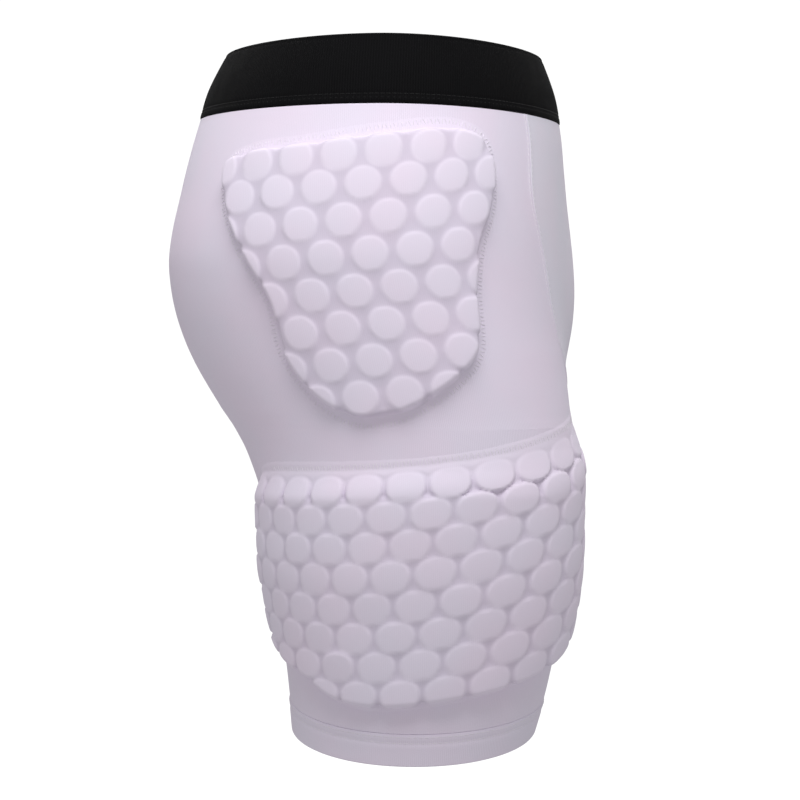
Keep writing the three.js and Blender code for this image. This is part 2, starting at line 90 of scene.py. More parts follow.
# The front panel's seam: half width as a share of the panel's, and drop as a share of the rise
PANEL_SEAM = ((0.84, 0), (0.84, 0.1), (0.86, 0.2), (1, 0.43), (0.97, 0.57), (0.96, 0.67), (0.92, 0.76),
              (0.78, 0.85), (0.5, 0.93), (0.22, 0.985), (0, 1))

# The foam's outlines, laid flat: across is a share of the half width, down of the height
HIP_OUTLINE = (
    (-0.99, 0.04), (-0.99, 0.17), (-0.85, 0.35), (-0.67, 0.55), (-0.65, 0.75), (-0.47, 0.91),
    (-0.22, 0.995), (0.07, 0.995), (0.49, 0.895), (0.69, 0.8), (0.78, 0.585), (0.87, 0.43),
    (1, 0.265), (0.95, 0.07), (0.71, 0.005), (0.16, 0), (-0.36, 0.01), (-0.82, 0.01),
)
THIGH_OUTLINE = (
    (-0.97, 0.03), (-1, 0.14), (-1, 0.62), (-0.93, 0.77), (-0.82, 0.85), (-0.65, 0.9),
    (-0.51, 0.97), (-0.36, 1), (0, 1), (0.58, 1), (0.8, 0.96), (0.93, 0.83),
    (1, 0.63), (1, 0.14), (0.97, 0.03), (0.9, 0), (0, 0), (-0.9, 0),
)

# A pad is laid out flat, then wrapped: forward is measured round the body from the side line, and drop
# from the waist rim. climb and bow lift its rows toward the front.
HIP_PAD = {
    "outline": HIP_OUTLINE,
    "middle": -14 * MM,
    "half_width": 85 * MM,
    "top": 60 * MM,
    "height": 162 * MM,
    "margin": 9 * MM,
    "climb": 0.1,
    "bow": 0.0,
    "pitch": 24.6 * MM,
    "widen": 0.0,
    "row_step": 19.9 * MM,
    "first_row_drop": 70 * MM,
    "first_row_shift": 1.8 * MM,
    "rows": 8,
    "first_cell": 2 * MM,
    "lean": 1 * MM,
    "cell_across": 10.5 * MM,
    "cell_down": 10.3 * MM,
    "cell_power": 2.1,
    "edge_width": 5.2 * MM,
    "top_ramp": 2.5 * MM,
    "front_ramp": 0.0,
    "scallop": 1.5 * MM,
    "groove": 1.8 * MM,
    "sag": 0.1 * MM,
    "pull": 3.0,
}
THIGH_PAD = {
    "outline": THIGH_OUTLINE,
    "middle": 20 * MM,
    "half_width": 137 * MM,
    "top": 249 * MM,
    "height": 128 * MM,
    "margin": 2.5 * MM,
    "climb": 0.1,
    "bow": 0.5,
    "pitch": 24.2 * MM,
    "widen": 0.7 * MM,
    "row_step": 15.3 * MM,
    "first_row_drop": 262.5 * MM,
    "first_row_shift": 0.0,
    "rows": 8,
    "first_cell": -7 * MM,
    "lean": 1.3 * MM,
    "cell_across": 11.4 * MM,
    "cell_down": 8.6 * MM,
    "cell_power": 2.4,
    "edge_width": 5 * MM,
    "top_ramp": 20 * MM,
    "front_ramp": 16 * MM,
    "scallop": 3.0 * MM,
    "groove": 2.8 * MM,
    "sag": 0.2 * MM,
    "pull": 5.0,
}


def length(description, default):
    return FloatProperty(
        description=description, default=default, precision=5, unit="LENGTH", subtype="DISTANCE"
    )


def number(description, default):
    return FloatProperty(description=description, default=default)


def colour(description, default):
    return FloatVectorProperty(
        description=description, default=default, size=3, min=0, max=1, subtype="COLOR"
    )


class SHORTS_PG_shape(PropertyGroup):
    rise: length("Waist rim down to the crotch", 232 * MM)
    inseam: length("Crotch down to the hem", 180 * MM)
    hip_half_width: length("Centre plane out to the hip", 172 * MM)
    front_reach: length("Belly ahead of the waist's axis", 112 * MM)
    seat_reach: length("Seat behind the waist's axis", 132 * MM)
    leg_spread: length("Leg axis beside the centre plane", 93 * MM)
    pouch_depth: length("How far the pouch stands out", 18.5 * MM)
    pouch_half_width: length("Spread of the pouch to each side", 36 * MM)
    panel_half_width: length("Centre plane to the front seam", 104 * MM)
    hem_slope: number("Fall of the hem toward the outside of the leg", 0.2)
    hip_roundness: number("Exponent of a section at the hips", 2.04)
    waist_roundness: number("Exponent of a section at the rim", 1.8)
    front_dip: length("Fall of the rim at the front", 5.5 * MM)
    back_dip: length("Fall of the rim at the back", 3.5 * MM)


class SHORTS_PG_cloth(PropertyGroup):
    wall: length("Thickness of the knit", 1.5 * MM)
    wale: length("Width of one rib of the knit", 1.15 * MM)
    course: length("Height of one stitch of the knit", 0.9 * MM)
    relief: length("Depth of the knit's ribs", 0.05 * MM)
    tint: colour("Colour of the knit", (0.825, 0.75, 0.88))
    front_tint: colour("Colour of the front panel", (0.79, 0.75, 0.855))
    seam_ridge: length("Height of a seam's allowance under the cloth", 0.5 * MM)


class SHORTS_PG_waistband(PropertyGroup):
    height: length("Height of the elastic", 42 * MM)
    wall: length("Thickness of the elastic", 2.2 * MM)
    proud: length("How far it stands out past the cloth", 0.5 * MM)
    rib: length("Width of one rib of the elastic", 1.6 * MM)
    tint: colour("Colour of the elastic", (0.0042, 0.0041, 0.0046))


class SHORTS_PG_hem(PropertyGroup):
    height: length("Height of the folded band", 19 * MM)
    wall: length("Thickness of the folded band", 2.4 * MM)
    proud: length("How far it stands out past the cloth", 0.65 * MM)
    tint: colour("Colour of the band", (0.81, 0.745, 0.87))


class SHORTS_PG_pad(PropertyGroup):
    clearance: length("Underside of a pad above the body", 0.15 * MM)
    patch: length("Top of the stitched margin above the body", 0.3 * MM)
    tuck: length("Depth to which the margin's edge is sewn down", 0.08 * MM)
    foam: length("Top of the foam cells above the body", 8.1 * MM)
    crown: length("Rise of a cell's middle over its rim", 0.35 * MM)
    grid: length("Spacing of the cover's points", 1.0 * MM)
    pull: number("Share of the load that draws the cover into the grooves", 1.0)
    tint: colour("Colour of the cover", (0.83, 0.755, 0.885))


class SHORTS_PG_stitching(PropertyGroup):
    thread: length("Radius of the thread", 0.17 * MM)
    zigzag_step: length("Distance between strokes round a patch", 2.3 * MM)
    zigzag_length: length("Length of a stroke round a patch", 3.2 * MM)
    line_step: length("Distance between the stitches of a row", 3.4 * MM)
    line_length: length("Length of one stitch of a row", 2.7 * MM)
    tint: colour("Colour of the white thread", (0.86, 0.82, 0.88))
    dark_tint: colour("Colour of the black thread", (0.011, 0.011, 0.012))


class SHORTS_PG_stage(PropertyGroup):
    floor_drop: length("Floor below the waist rim", 0.62)
    tint: colour("Colour of floor and backdrop", (0.3, 0.3, 0.3))
    key: number("Strength of the lights above each side", 8.1)
    sky: number("Strength of the soft light from above", 0.46)
    ground: number("Strength of the soft light from below", 0.52)
    glow: number("Brightness of the backdrop by itself", 0.9)


def read_columns(name):
    return np.array([row[SECTION_COLUMNS.index(name)] for row in SECTION_SHARES], float)


def smooth_step(value):
    t = np.clip(value, 0, 1)
    return t * t * (3 - 2 * t)


def cubic(t, start, start_slope, end, end_slope):
    """From start to end as t runs from 0 to 1, with the given slopes there."""
    return (
        (2 * t**3 - 3 * t**2 + 1) * start
        + (t**3 - 2 * t**2 + t) * start_slope
        + (3 * t**2 - 2 * t**3) * end
        + (t**3 - t**2) * end_slope
    )


def through_stations(stations, values, at):
    """A cubic through the stations that never overshoots them."""
    rate = np.diff(values) / np.diff(stations)
    product = rate[:-1] * rate[1:]
    total = np.where(product > 0, rate[:-1] + rate[1:], 1)
    slope = np.r_[rate[0], np.where(product > 0, 2 * product / total, 0), rate[-1]]
    k = np.clip(np.searchsorted(stations, at, side="right") - 1, 0, len(stations) - 2)
    step = stations[k + 1] - stations[k]
    return cubic((at - stations[k]) / step, values[k], step * slope[k], values[k + 1], step * slope[k + 1])


def spline_weights(t):
    return 0.5 * np.stack(
        [-t + 2 * t**2 - t**3, 2 - 5 * t**2 + 3 * t**3, t + 4 * t**2 - 3 * t**3, t**3 - t**2], axis=-1
    )


def even_points(line, count):
    """A polyline's points at even distances, and its length."""
    reached = np.r_[0, np.cumsum(np.linalg.norm(np.diff(line, axis=0), axis=1))]
    wanted = np.linspace(0, reached[-1], count + 1)
    return np.stack([np.interp(wanted, reached, line[:, k]) for k in range(2)], axis=1), reached[-1]


class BodySurface:
    """The shorts' outer surface on the wearer's right, from the sections."""

    COLUMNS = 20
    UPPER_ROWS = 17
    LOWER_ROWS = 12
    QUARTER_STEPS = 24
    EDGE = 3
    UPPER_SPACING = 1.9
    LOWER_SPACING = 1.5
    FLAT_ANGLE = 0.02
    RELAX_PASSES = 12
    RELAX_HALF_WIDTH = 40 * MM
    RELAX_SHARE = 0.5
    RELAX_LEAST = 1e-4
    # Levels at which the easing starts, is full, begins to fade and ends
    RELAX_START, RELAX_FULL, RELAX_FADE, RELAX_END = 0.43, 0.69, 1.22, 1.55
    HEM_SLOPE_START = 0.1
    ROUNDED_BY = 0.5
    NORMAL_DROP = 2 * MM
    NORMAL_COLUMNS = 0.25

    def __init__(self, shape):
        self.shape = shape
        self.rise = shape.rise
        self.bottom = shape.rise + shape.inseam
        self.last = 2 * self.COLUMNS
        levels = read_columns("level")
        self.stations = np.minimum(levels, 1) * shape.rise + np.maximum(levels - 1, 0) * shape.inseam
        scales = {
            "out": shape.hip_half_width, "front": shape.front_reach, "back": shape.seat_reach,
            "front_x": shape.leg_spread, "back_x": shape.leg_spread, "rise_front": 1, "rise_back": 1,
            "middle": shape.seat_reach, "inner": shape.leg_spread, "pouch": shape.pouch_depth,
        }
        self.columns = {name: read_columns(name) * scale for name, scale in scales.items()}
        upper = self.upper_drops(0, self.UPPER_ROWS)
        self.drops = np.r_[upper, self.lower_drops(self.bottom, self.LOWER_ROWS)[1:]]
        rings = [self.ring(drop) for drop in self.drops]
        self.front_length = np.array([ring[1] for ring in rings])
        self.back_length = np.array([ring[2] for ring in rings])
        net = np.array([ring[0] for ring in rings])
        for _ in range(self.RELAX_PASSES):
            net = self.relaxed(net)
        self.padded = self.with_neighbours(net)

    def upper_drops(self, start, count):
        first = 1 - (1 - start / self.rise) ** (1 / self.UPPER_SPACING)
        t = np.linspace(first, 1, count + 1)
        return self.rise * (1 - np.maximum(1 - t, 0) ** self.UPPER_SPACING)

    def lower_drops(self, end, count):
        return self.rise + (end - self.rise) * np.linspace(0, 1, count + 1) ** self.LOWER_SPACING

    def quarter(self, from_x, reach_x, middle, reach_y, start, end, roundness):
        angle = np.linspace(start, end, self.QUARTER_STEPS + 1)
        power = 2 / roundness
        x = from_x + reach_x * np.maximum(np.sin(angle), 0) ** power
        y = middle + reach_y * np.maximum(np.cos(angle), 0) ** power
        return np.stack([x, y], axis=1)

    def inner_quarter(self, peak_x, inner_x, middle, reach_y, kept, roundness):
        kept = min(max(kept, 0), 1)
        angle = math.acos(kept ** (roundness / 2))
        if angle < self.FLAT_ANGLE:
            return np.array([[inner_x, middle + reach_y * kept], [peak_x, middle + reach_y]])
        reach_x = (inner_x - peak_x) / math.sin(angle) ** (2 / roundness)
        return self.quarter(peak_x, reach_x, middle, reach_y, angle, 0, roundness)

    def ring(self, drop):
        """One half's ring, from the centre plane at the front past the side line to the back."""
        shape = self.shape
        s = {name: float(through_stations(self.stations, row, drop)) for name, row in self.columns.items()}
        turn = smooth_step(drop / (self.ROUNDED_BY * self.rise))
        round_ = shape.waist_roundness + (shape.hip_roundness - shape.waist_roundness) * turn
        right = math.pi / 2
        middle, peak = s["middle"], -s["front_x"]
        reach_y = -(s["front"] + middle)
        inner = self.inner_quarter(peak, -s["inner"], middle, reach_y, s["rise_front"], round_)
        outer = self.quarter(peak, -peak - s["out"], middle, reach_y, 0, right, round_)
        front = np.r_[inner, outer[1:]]
        facing = np.clip((front[:, 1] - middle) / reach_y, 0, 1)
        peak, reach_y = -s["back_x"], s["back"] - middle
        outer = self.quarter(peak, -peak - s["out"], middle, reach_y, right, 0, round_)
        inner = self.inner_quarter(peak, -s["inner"], middle, reach_y, s["rise_back"], round_)
        back = np.r_[outer, inner[::-1][1:]]
        front[:, 1] -= s["pouch"] * facing * np.exp(-((front[:, 0] / shape.pouch_half_width) ** 2))
        even_front, front_length = even_points(front, self.COLUMNS)
        even_back, back_length = even_points(back, self.COLUMNS)
        flat = np.r_[even_front, even_back[1:]]
        start = self.rise + self.HEM_SLOPE_START * shape.inseam
        slope = shape.hem_slope * smooth_step((drop - start) / (self.bottom - start))
        fade = np.clip(1 - drop / self.rise, 0, 1) ** 2
        ahead = flat[:, 1] < 0
        dip = np.where(ahead, shape.front_dip, shape.back_dip) * fade
        dip = dip * (flat[:, 1] / np.where(ahead, shape.front_reach, shape.seat_reach)) ** 2
        z = slope * (flat[:, 0] + shape.leg_spread) - dip - drop
        return np.c_[flat, z], front_length, back_length

    def with_neighbours(self, net):
        """The net with its neighbours: the other half above the crotch, round the leg from there down."""
        rows, last = net.shape[0], self.last
        upper = (np.arange(rows) < self.UPPER_ROWS)[:, None]
        mirror = np.array([-1, 1, 1])
        wide = np.empty((rows, last + 1 + 2 * self.EDGE, 3))
        wide[:, self.EDGE : self.EDGE + last + 1] = net
        for k in range(1, self.EDGE + 1):
            wide[:, self.EDGE - k] = np.where(upper, net[:, k] * mirror, net[:, last - k])
            wide[:, self.EDGE + last + k] = np.where(upper, net[:, last - k] * mirror, net[:, k])
        return np.concatenate([wide[:1], wide, wide[-1:], wide[-1:]])

    def relaxed(self, net):
        """Eases the net near the centre plane, so the two halves run into each other without a crease."""
        wide = self.with_neighbours(net)
        inner = slice(self.EDGE, self.EDGE + self.last + 1)
        left = wide[1:-2, self.EDGE - 1 : self.EDGE + self.last]
        right = wide[1:-2, self.EDGE + 1 : self.EDGE + self.last + 2]
        mean = (wide[:-3, inner] + wide[2:-1, inner] + left + right) / 4
        drops = self.drops
        level = np.where(drops < self.rise, drops / self.rise, 1 + (drops - self.rise) / self.shape.inseam)
        share = np.clip((level - self.RELAX_START) / (self.RELAX_FULL - self.RELAX_START), 0, 1)
        share = share * np.clip((self.RELAX_END - level) / (self.RELAX_END - self.RELAX_FADE), 0, 1)
        weight = self.RELAX_SHARE * np.exp(-((net[:, :, 0] / self.RELAX_HALF_WIDTH) ** 2)) * share[:, None]
        weight = np.where(weight < self.RELAX_LEAST, 0, weight)[:, :, None]
        moved = net + (mean - net) * weight
        shared = (moved[self.UPPER_ROWS :, 0] + moved[self.UPPER_ROWS :, -1]) / 2
        moved[self.UPPER_ROWS :, 0] = shared
        moved[self.UPPER_ROWS :, -1] = shared
        moved[: self.UPPER_ROWS + 1, 0, 0] = 0
        moved[: self.UPPER_ROWS + 1, -1, 0] = 0
        return moved

    def row_at(self, drop):
        row = np.clip(np.searchsorted(self.drops, drop, side="right") - 1, 0, len(self.drops) - 2)
        return row, (drop - self.drops[row]) / (self.drops[row + 1] - self.drops[row])

    def point(self, drop, column):
        drop, column = np.broadcast_arrays(np.asarray(drop, float), np.asarray(column, float))
        row, part = self.row_at(drop)
        first = np.floor(column).astype(int)
        down, across = spline_weights(part), spline_weights(column - first)
        total = np.zeros(drop.shape + (3,))
        for r in range(4):
            for c in range(4):
                near = self.padded[row + r, first + c + self.EDGE - 1]
                total += (down[..., r] * across[..., c])[..., None] * near
        return total

    def normal(self, drop, column):
        drop, column = np.broadcast_arrays(np.asarray(drop, float), np.asarray(column, float))
        low = np.minimum(drop + self.NORMAL_DROP, self.bottom)
        high = np.maximum(drop - self.NORMAL_DROP, 0)
        down = self.point(low, column) - self.point(high, column)
        step = self.NORMAL_COLUMNS
        back = self.point(drop, column + step) - self.point(drop, column - step)
        normal = np.cross(back, down)
        centre = (column < TINY) | (column > self.last - TINY)
        normal[centre & (drop < self.rise - TINY), 0] = 0
        normal[centre & (np.abs(drop - self.rise) < TINY)] = (0, 0, -1)
        return normal / np.linalg.norm(normal, axis=-1, keepdims=True)

    def raised(self, drop, column, height):
        height = np.broadcast_to(height, np.broadcast(drop, column).shape)
        return self.point(drop, column) + self.normal(drop, column) * height[..., None]

    def lengths(self, drop):
        row, part = self.row_at(np.asarray(drop, float))
        ahead = self.front_length[row] + (self.front_length[row + 1] - self.front_length[row]) * part
        behind = self.back_length[row] + (self.back_length[row + 1] - self.back_length[row]) * part
        return ahead, behind

    def column_of(self, forward, drop):
        ahead, behind = self.lengths(drop)
        return self.COLUMNS * (1 - forward / np.where(forward > 0, ahead, behind))

    def forward_of(self, column, drop):
        ahead, behind = self.lengths(drop)
        return (1 - column / self.COLUMNS) * np.where(column < self.COLUMNS, ahead, behind)


SURFACES = {}


def body_surface():
    if "body" not in SURFACES:
        SURFACES["body"] = BodySurface(bpy.context.scene.shorts_shape)
    return SURFACES["body"]


class Term:
    """A node's socket that can stand in a Python expression."""

    def __init__(self, nodes, socket):
        self.nodes = nodes
        self.socket = socket

    def maths(self, operation, *others):
        return self.nodes.term("ShaderNodeMath", {"operation": operation}, dict(enumerate((self, *others))))

    def __add__(self, other):
        return self.maths("ADD", other)

    def __mul__(self, other):
        return self.maths("MULTIPLY", other)

    def __truediv__(self, other):
        return self.maths("DIVIDE", other)

    __radd__ = __add__

    def wave(self, period, shift=0.0):
        """A sine from 0 to 1, once in each period."""
        return (self * (2 * math.pi / period) + shift).maths("SINE") * 0.5 + 0.5

    def floor(self):
        return self.maths("FLOOR")

    def smooth(self, low, high):
        limits = {"Value": self, "From Min": low, "From Max": high}
        return self.nodes.term("ShaderNodeMapRange", {"interpolation_type": "SMOOTHSTEP"}, limits)


class Nodes:
    """A node tree whose nodes are added by one method, with values or terms as their inputs."""

    def __init__(self, tree):
        self.tree = tree

    def node(self, kind, settings=None, inputs=None):
        node = self.tree.nodes.new(kind)
        for name, value in (settings or {}).items():
            setattr(node, name, value)
        for name, value in (inputs or {}).items():
            self.join(node.inputs[name], value)
        return node

    def join(self, socket, value):
        if isinstance(value, Term):
            self.tree.links.new(value.socket, socket)
        else:
            socket.default_value = value

    def term(self, kind, settings=None, inputs=None, output=0):
        return Term(self, self.node(kind, settings, inputs).outputs[output])


SHEEN_ROUGHNESS = 0.6


class Finish(Nodes):
    """A material, with its shader's constants set."""

    def __init__(self, name, roughness, sheen=0.0, gloss=0.12):
        self.material = bpy.data.materials.new(name)
        self.material.use_nodes = True
        super().__init__(self.material.node_tree)
        self.shader = self.tree.nodes["Principled BSDF"]
        constants = {
            "Roughness": roughness, "Sheen Weight": sheen, "Sheen Roughness": SHEEN_ROUGHNESS,
            "Specular IOR Level": gloss,
        }
        for constant, value in constants.items():
            self.shader.inputs[constant].default_value = value

    def cloth_place(self):
        """The piece's UV map, in metres along and down the cloth, as two terms."""
        uv = self.term("ShaderNodeUVMap", {"uv_map": "cloth"})
        split = self.node("ShaderNodeSeparateXYZ", {}, {0: uv})
        return uv, Term(self, split.outputs["X"]), Term(self, split.outputs["Y"])

    def noise(self, vector, scale, detail, roughness=0.5):
        inputs = {"Vector": vector, "Scale": scale, "Detail": detail, "Roughness": roughness}
        return self.term("ShaderNodeTexNoise", {}, inputs)

    def mixed(self, share, first, second, blend="MIX"):
        node = self.node("ShaderNodeMix", {"data_type": "RGBA", "blend_type": blend}, {})
        sockets = [s for s in node.inputs if s.enabled]
        for socket, value in zip(sockets, (share, first, second)):
            self.join(socket, value)
        return Term(self, next(s for s in node.outputs if s.enabled))

    def use(self, tint, height, distance, strength):
        relief = {"Height": height, "Distance": distance, "Strength": strength}
        bump = self.term("ShaderNodeBump", {}, relief)
        self.join(self.shader.inputs["Base Color"], tint)
        self.join(self.shader.inputs["Normal"], bump)
        return self.material


def rgba(tint, share=1.0):
    return tuple(min(channel * share, 1.0) for channel in tint) + (1.0,)


# Noises: scale per metre, detail and, where it isn't the usual one, roughness
DRIFT_NOISE, FUZZ_NOISE, TONE_NOISE = (90.0, 3.0), (2600.0, 3.0), (16.0, 3.0, 0.55)
ELASTIC_NOISE, WORN_NOISE, TWIST_NOISE = (1800.0, 3.0), (60.0, 4.0), (3200.0, 2.0)
# How far the drift moves the knit's ribs, in radians, and the limits between which a noise becomes a tone
DRIFT = 1.5
TONE_LIMITS, WORN_LIMITS = (0.3, 0.7), (0.35, 0.75)
# Shares of the ribs, the threads across them and the fuzz in the height, and of two of them in the tone
KNIT_HEIGHT, KNIT_TONE = (0.55, 0.25, 0.35), (0.6, 0.4)
ELASTIC_HEIGHT, ELASTIC_TONE = (0.6, 0.35, 0.3), (0.6, 0.3)
# What the tint is multiplied by in the knit's two tones, and in a pad's grooves as painted shade
COOL_TONE, WARM_TONE = (0.985, 1.0, 1.0), (1.015, 0.985, 0.995)
GROOVE_PAINTED_SHADE_TONE = (0.85, 0.84, 0.86)
# How much darker the knit is painted between its ribs, as shade in its hollows
RIB_SHADE = 0.03
# The elastic's tone between its ribs as painted shade, on them as painted light and where it is worn, its
# roughness when new and what wear adds
ELASTIC_RIB_LIGHT_SHADE_AND_WEAR = (0.75, 1.35, 1.7)
WORN_SHARE = 0.35
ELASTIC_ROUGHNESS, WORN_ROUGHNESS = 0.7, 0.12
CROSS_THREAD = 0.55
TWIST_SHADES = (0.85, 1.08)
# Bump: strength, and distance as a multiple of the knit's relief or in metres
KNIT_BUMP, KNIT_DEPTH = 0.3, 4
ELASTIC_BUMP, ELASTIC_DEPTH = 0.6, 0.5 * MM
THREAD_BUMP, THREAD_DEPTH = 0.5, 0.1 * MM


def blended(terms, shares):
    """The sum of the terms, each by its share."""
    first, *others = (term * share for term, share in zip(terms, shares))
    return sum(others, first)


def knit_finish(name, tint, cloth, relief=1.0, web=None):
    """A fine warp knit: ribs down the cloth, crossed by stitches, with a faint uneven tone, painted shade
    between its ribs and, on a pad, painted shade in the grooves between the cells.
    """
    finish = Finish(name, roughness=0.86, sheen=0.12)
    place, along, down = finish.cloth_place()
    drift = finish.noise(place, *DRIFT_NOISE) * DRIFT
    ribs = along.wave(cloth.wale, drift)
    stitches = down.wave(cloth.course, (along / cloth.wale).floor() * math.pi + drift)
    height = blended((ribs, stitches, finish.noise(place, *FUZZ_NOISE)), KNIT_HEIGHT)
    broad = finish.noise(place, *TONE_NOISE).smooth(*TONE_LIMITS)
    cool, warm = (rgba(np.multiply(tint, tone)) for tone in (COOL_TONE, WARM_TONE))
    # The knit is painted darker where its ribs and stitches sink, as shade in its hollows.
    shaded = rgba((1 - RIB_SHADE * relief,) * 3)
    threads = finish.mixed(blended((ribs, stitches), KNIT_TONE), shaded, rgba((1.0,) * 3))
    toned = finish.mixed(1.0, finish.mixed(broad, cool, warm), threads, "MULTIPLY")
    # On a pad, the cover is painted darker in the grooves between the cells, as shade.
    if web:
        deep = finish.term("ShaderNodeAttribute", {"attribute_name": web}, {}, "Fac")
        toned = finish.mixed(deep, toned, finish.mixed(1.0, toned, rgba(GROOVE_PAINTED_SHADE_TONE), "MULTIPLY"))
    return finish.use(toned, height, cloth.relief * KNIT_DEPTH * relief, KNIT_BUMP)


def elastic_finish(name, look):
    """Woven elastic: upright ribs with fine cross threads, painted lighter on the ribs and darker between
    them as light and shade, and worn a little grey in patches.
    """
    finish = Finish(name, roughness=ELASTIC_ROUGHNESS, gloss=0.04)
    place, along, down = finish.cloth_place()
    ribs = along.wave(look.rib)
    threads = down.wave(look.rib * CROSS_THREAD, (along / look.rib * 2).floor() * math.pi)
    fuzz = finish.noise(place, *ELASTIC_NOISE)
    worn = finish.noise(place, *WORN_NOISE).smooth(*WORN_LIMITS)
    # The ribs are painted lighter and the hollows between them darker, as light and shade; grey is wear.
    between, raised, grey = (rgba(look.tint, shade) for shade in ELASTIC_RIB_LIGHT_SHADE_AND_WEAR)
    base = finish.mixed(blended((ribs, fuzz), ELASTIC_TONE), between, raised)
    tint = finish.mixed(worn * WORN_SHARE, base, grey)
    finish.join(finish.shader.inputs["Roughness"], ELASTIC_ROUGHNESS + worn * WORN_ROUGHNESS)
    return finish.use(tint, blended((ribs, threads, fuzz), ELASTIC_HEIGHT), ELASTIC_DEPTH, ELASTIC_BUMP)


def thread_finish(name, tint):
    finish = Finish(name, roughness=0.6, sheen=0.1)
    twist = finish.noise(finish.term("ShaderNodeTexCoord", output="Object"), *TWIST_NOISE)
    shade = finish.mixed(twist, *(rgba(tint, shade) for shade in TWIST_SHADES))
    return finish.use(shade, twist, THREAD_DEPTH, THREAD_BUMP)


def finish_named(name, make):
    """A material is made once and shared by the pieces that use it."""
    return bpy.data.materials.get(name) or make(name)


def new_piece(name, points, faces, uv, material, tone=None):
    mesh = bpy.data.meshes.new(name)
    mesh.from_pydata(points.tolist(), [], faces.tolist())
    corners = np.empty(len(mesh.loops), np.int32)
    mesh.loops.foreach_get("vertex_index", corners)
    layer = mesh.uv_layers.new(name="cloth")
    layer.data.foreach_set("uv", np.asarray(uv, np.float32)[corners].ravel())
    # The tone marks where a pad's cover is painted darker as shade, in the grooves between the cells.
    if tone is not None:
        deep = mesh.attributes.new("deep", "FLOAT", "POINT")
        deep.data.foreach_set("value", np.asarray(tone, np.float32))
    mesh.materials.append(material)
    piece = bpy.data.objects.new(name, mesh)
    bpy.context.scene.collection.objects.link(piece)
    return piece


def tie(piece, node):
    """Says which body a piece moves with and which node it stands for, whose imported part it hides."""
    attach(piece, "root")
    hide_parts(node)


def clean_mesh(piece, distance):
    """Joins points that meet, drops faces that shrank to nothing, and shades smooth up to sharp edges."""
    work = bmesh.new()
    work.from_mesh(piece.data)
    bmesh.ops.remove_doubles(work, verts=work.verts, dist=distance)
    bmesh.ops.dissolve_degenerate(work, edges=work.edges, dist=distance * 0.5)
    bmesh.ops.recalc_face_normals(work, faces=work.faces)
    for face in work.faces:
        face.smooth = True
    work.to_mesh(piece.data)
    work.free()
    piece.data.set_sharp_from_angle(angle=SHARP_ANGLE)
    piece.data.update()


def grid_faces(rows, columns, start=0, flip=False):
    index = start + np.arange(rows * columns).reshape(rows, columns)
    corners = (index[:-1, :-1], index[:-1, 1:], index[1:, 1:], index[1:, :-1])
    quads = np.stack(corners, axis=-1).reshape(-1, 4)
    return quads[:, ::-1] if flip else quads


def strip_faces(line, other):
    return np.stack([line[:-1], line[1:], other[1:], other[:-1]], axis=-1)


def with_mirror(points, faces, uv):
    """The other half of a piece beside it, seen in the centre plane."""
    count = len(points)
    both = np.r_[points, points * np.array([-1, 1, 1])]
    return both, np.r_[faces, faces[:, ::-1] + count], np.r_[uv, uv]


def cloth_shell(name, drops, columns, outer, inner, material, open_side, side_rows):
    """A wall of cloth over rows of columns, with both halves. A seam cuts it on open_side, 0 or -1."""
    surface = body_surface()
    rows, count = columns.shape
    drop = np.broadcast_to(drops[:, None], columns.shape)
    points = np.r_[
        surface.raised(drop, columns, outer).reshape(-1, 3),
        surface.raised(drop, columns, inner).reshape(-1, 3),
    ]
    forward = surface.forward_of(columns, drop)
    uv = np.stack([forward, drop], axis=-1).reshape(-1, 2)
    uv = np.r_[uv, uv]
    half = rows * count
    index = np.arange(half).reshape(rows, count)
    faces = [grid_faces(rows, count), grid_faces(rows, count, half, flip=True)]
    edges = (index[0], index[-1], index[: side_rows + 1, open_side])
    faces += [strip_faces(line, line + half) for line in edges]
    piece = new_piece(name, *with_mirror(points, np.concatenate(faces), uv), material)
    clean_mesh(piece, JOIN_DISTANCE)
    return piece


SEAM_TRIES = 161


def seam_columns(drops):
    """The column that the front panel's seam follows, and how many metres one column spans there."""
    surface = body_surface()
    shares = np.array(PANEL_SEAM)
    upper = np.minimum(drops, surface.rise)
    half_width = through_stations(shares[:, 1] * surface.rise, shares[:, 0], upper)
    half_width = np.maximum(half_width, 0) * surface.shape.panel_half_width
    tries = np.linspace(0, surface.COLUMNS, SEAM_TRIES)
    across = -surface.point(drops[:, None], tries[None, :])[..., 0]
    rising = np.maximum.accumulate(across, axis=1)
    columns = np.array([np.interp(w, row, tries) for w, row in zip(half_width, rising)])
    columns[drops > surface.rise - TINY] = 0
    return columns, surface.lengths(drops)[0] / surface.COLUMNS


SEAM_OFFSETS = np.array([0.15, 0.5, 1.0, 1.6, 2.3, 3.2, 4.4]) * MM
SEAM_WIDTH = 2.6 * MM
SEAM_GROOVE_WIDTH = 0.45 * MM
SEAM_GROOVE_SHARE = 0.9


def seam_relief(distance, ridge):
    """Height of the cloth beside a seam: a low ridge with a groove along the stitching."""
    groove = SEAM_GROOVE_SHARE * np.exp(-((distance / SEAM_GROOVE_WIDTH) ** 2))
    return ridge * (np.exp(-((distance / SEAM_WIDTH) ** 2)) - groove)


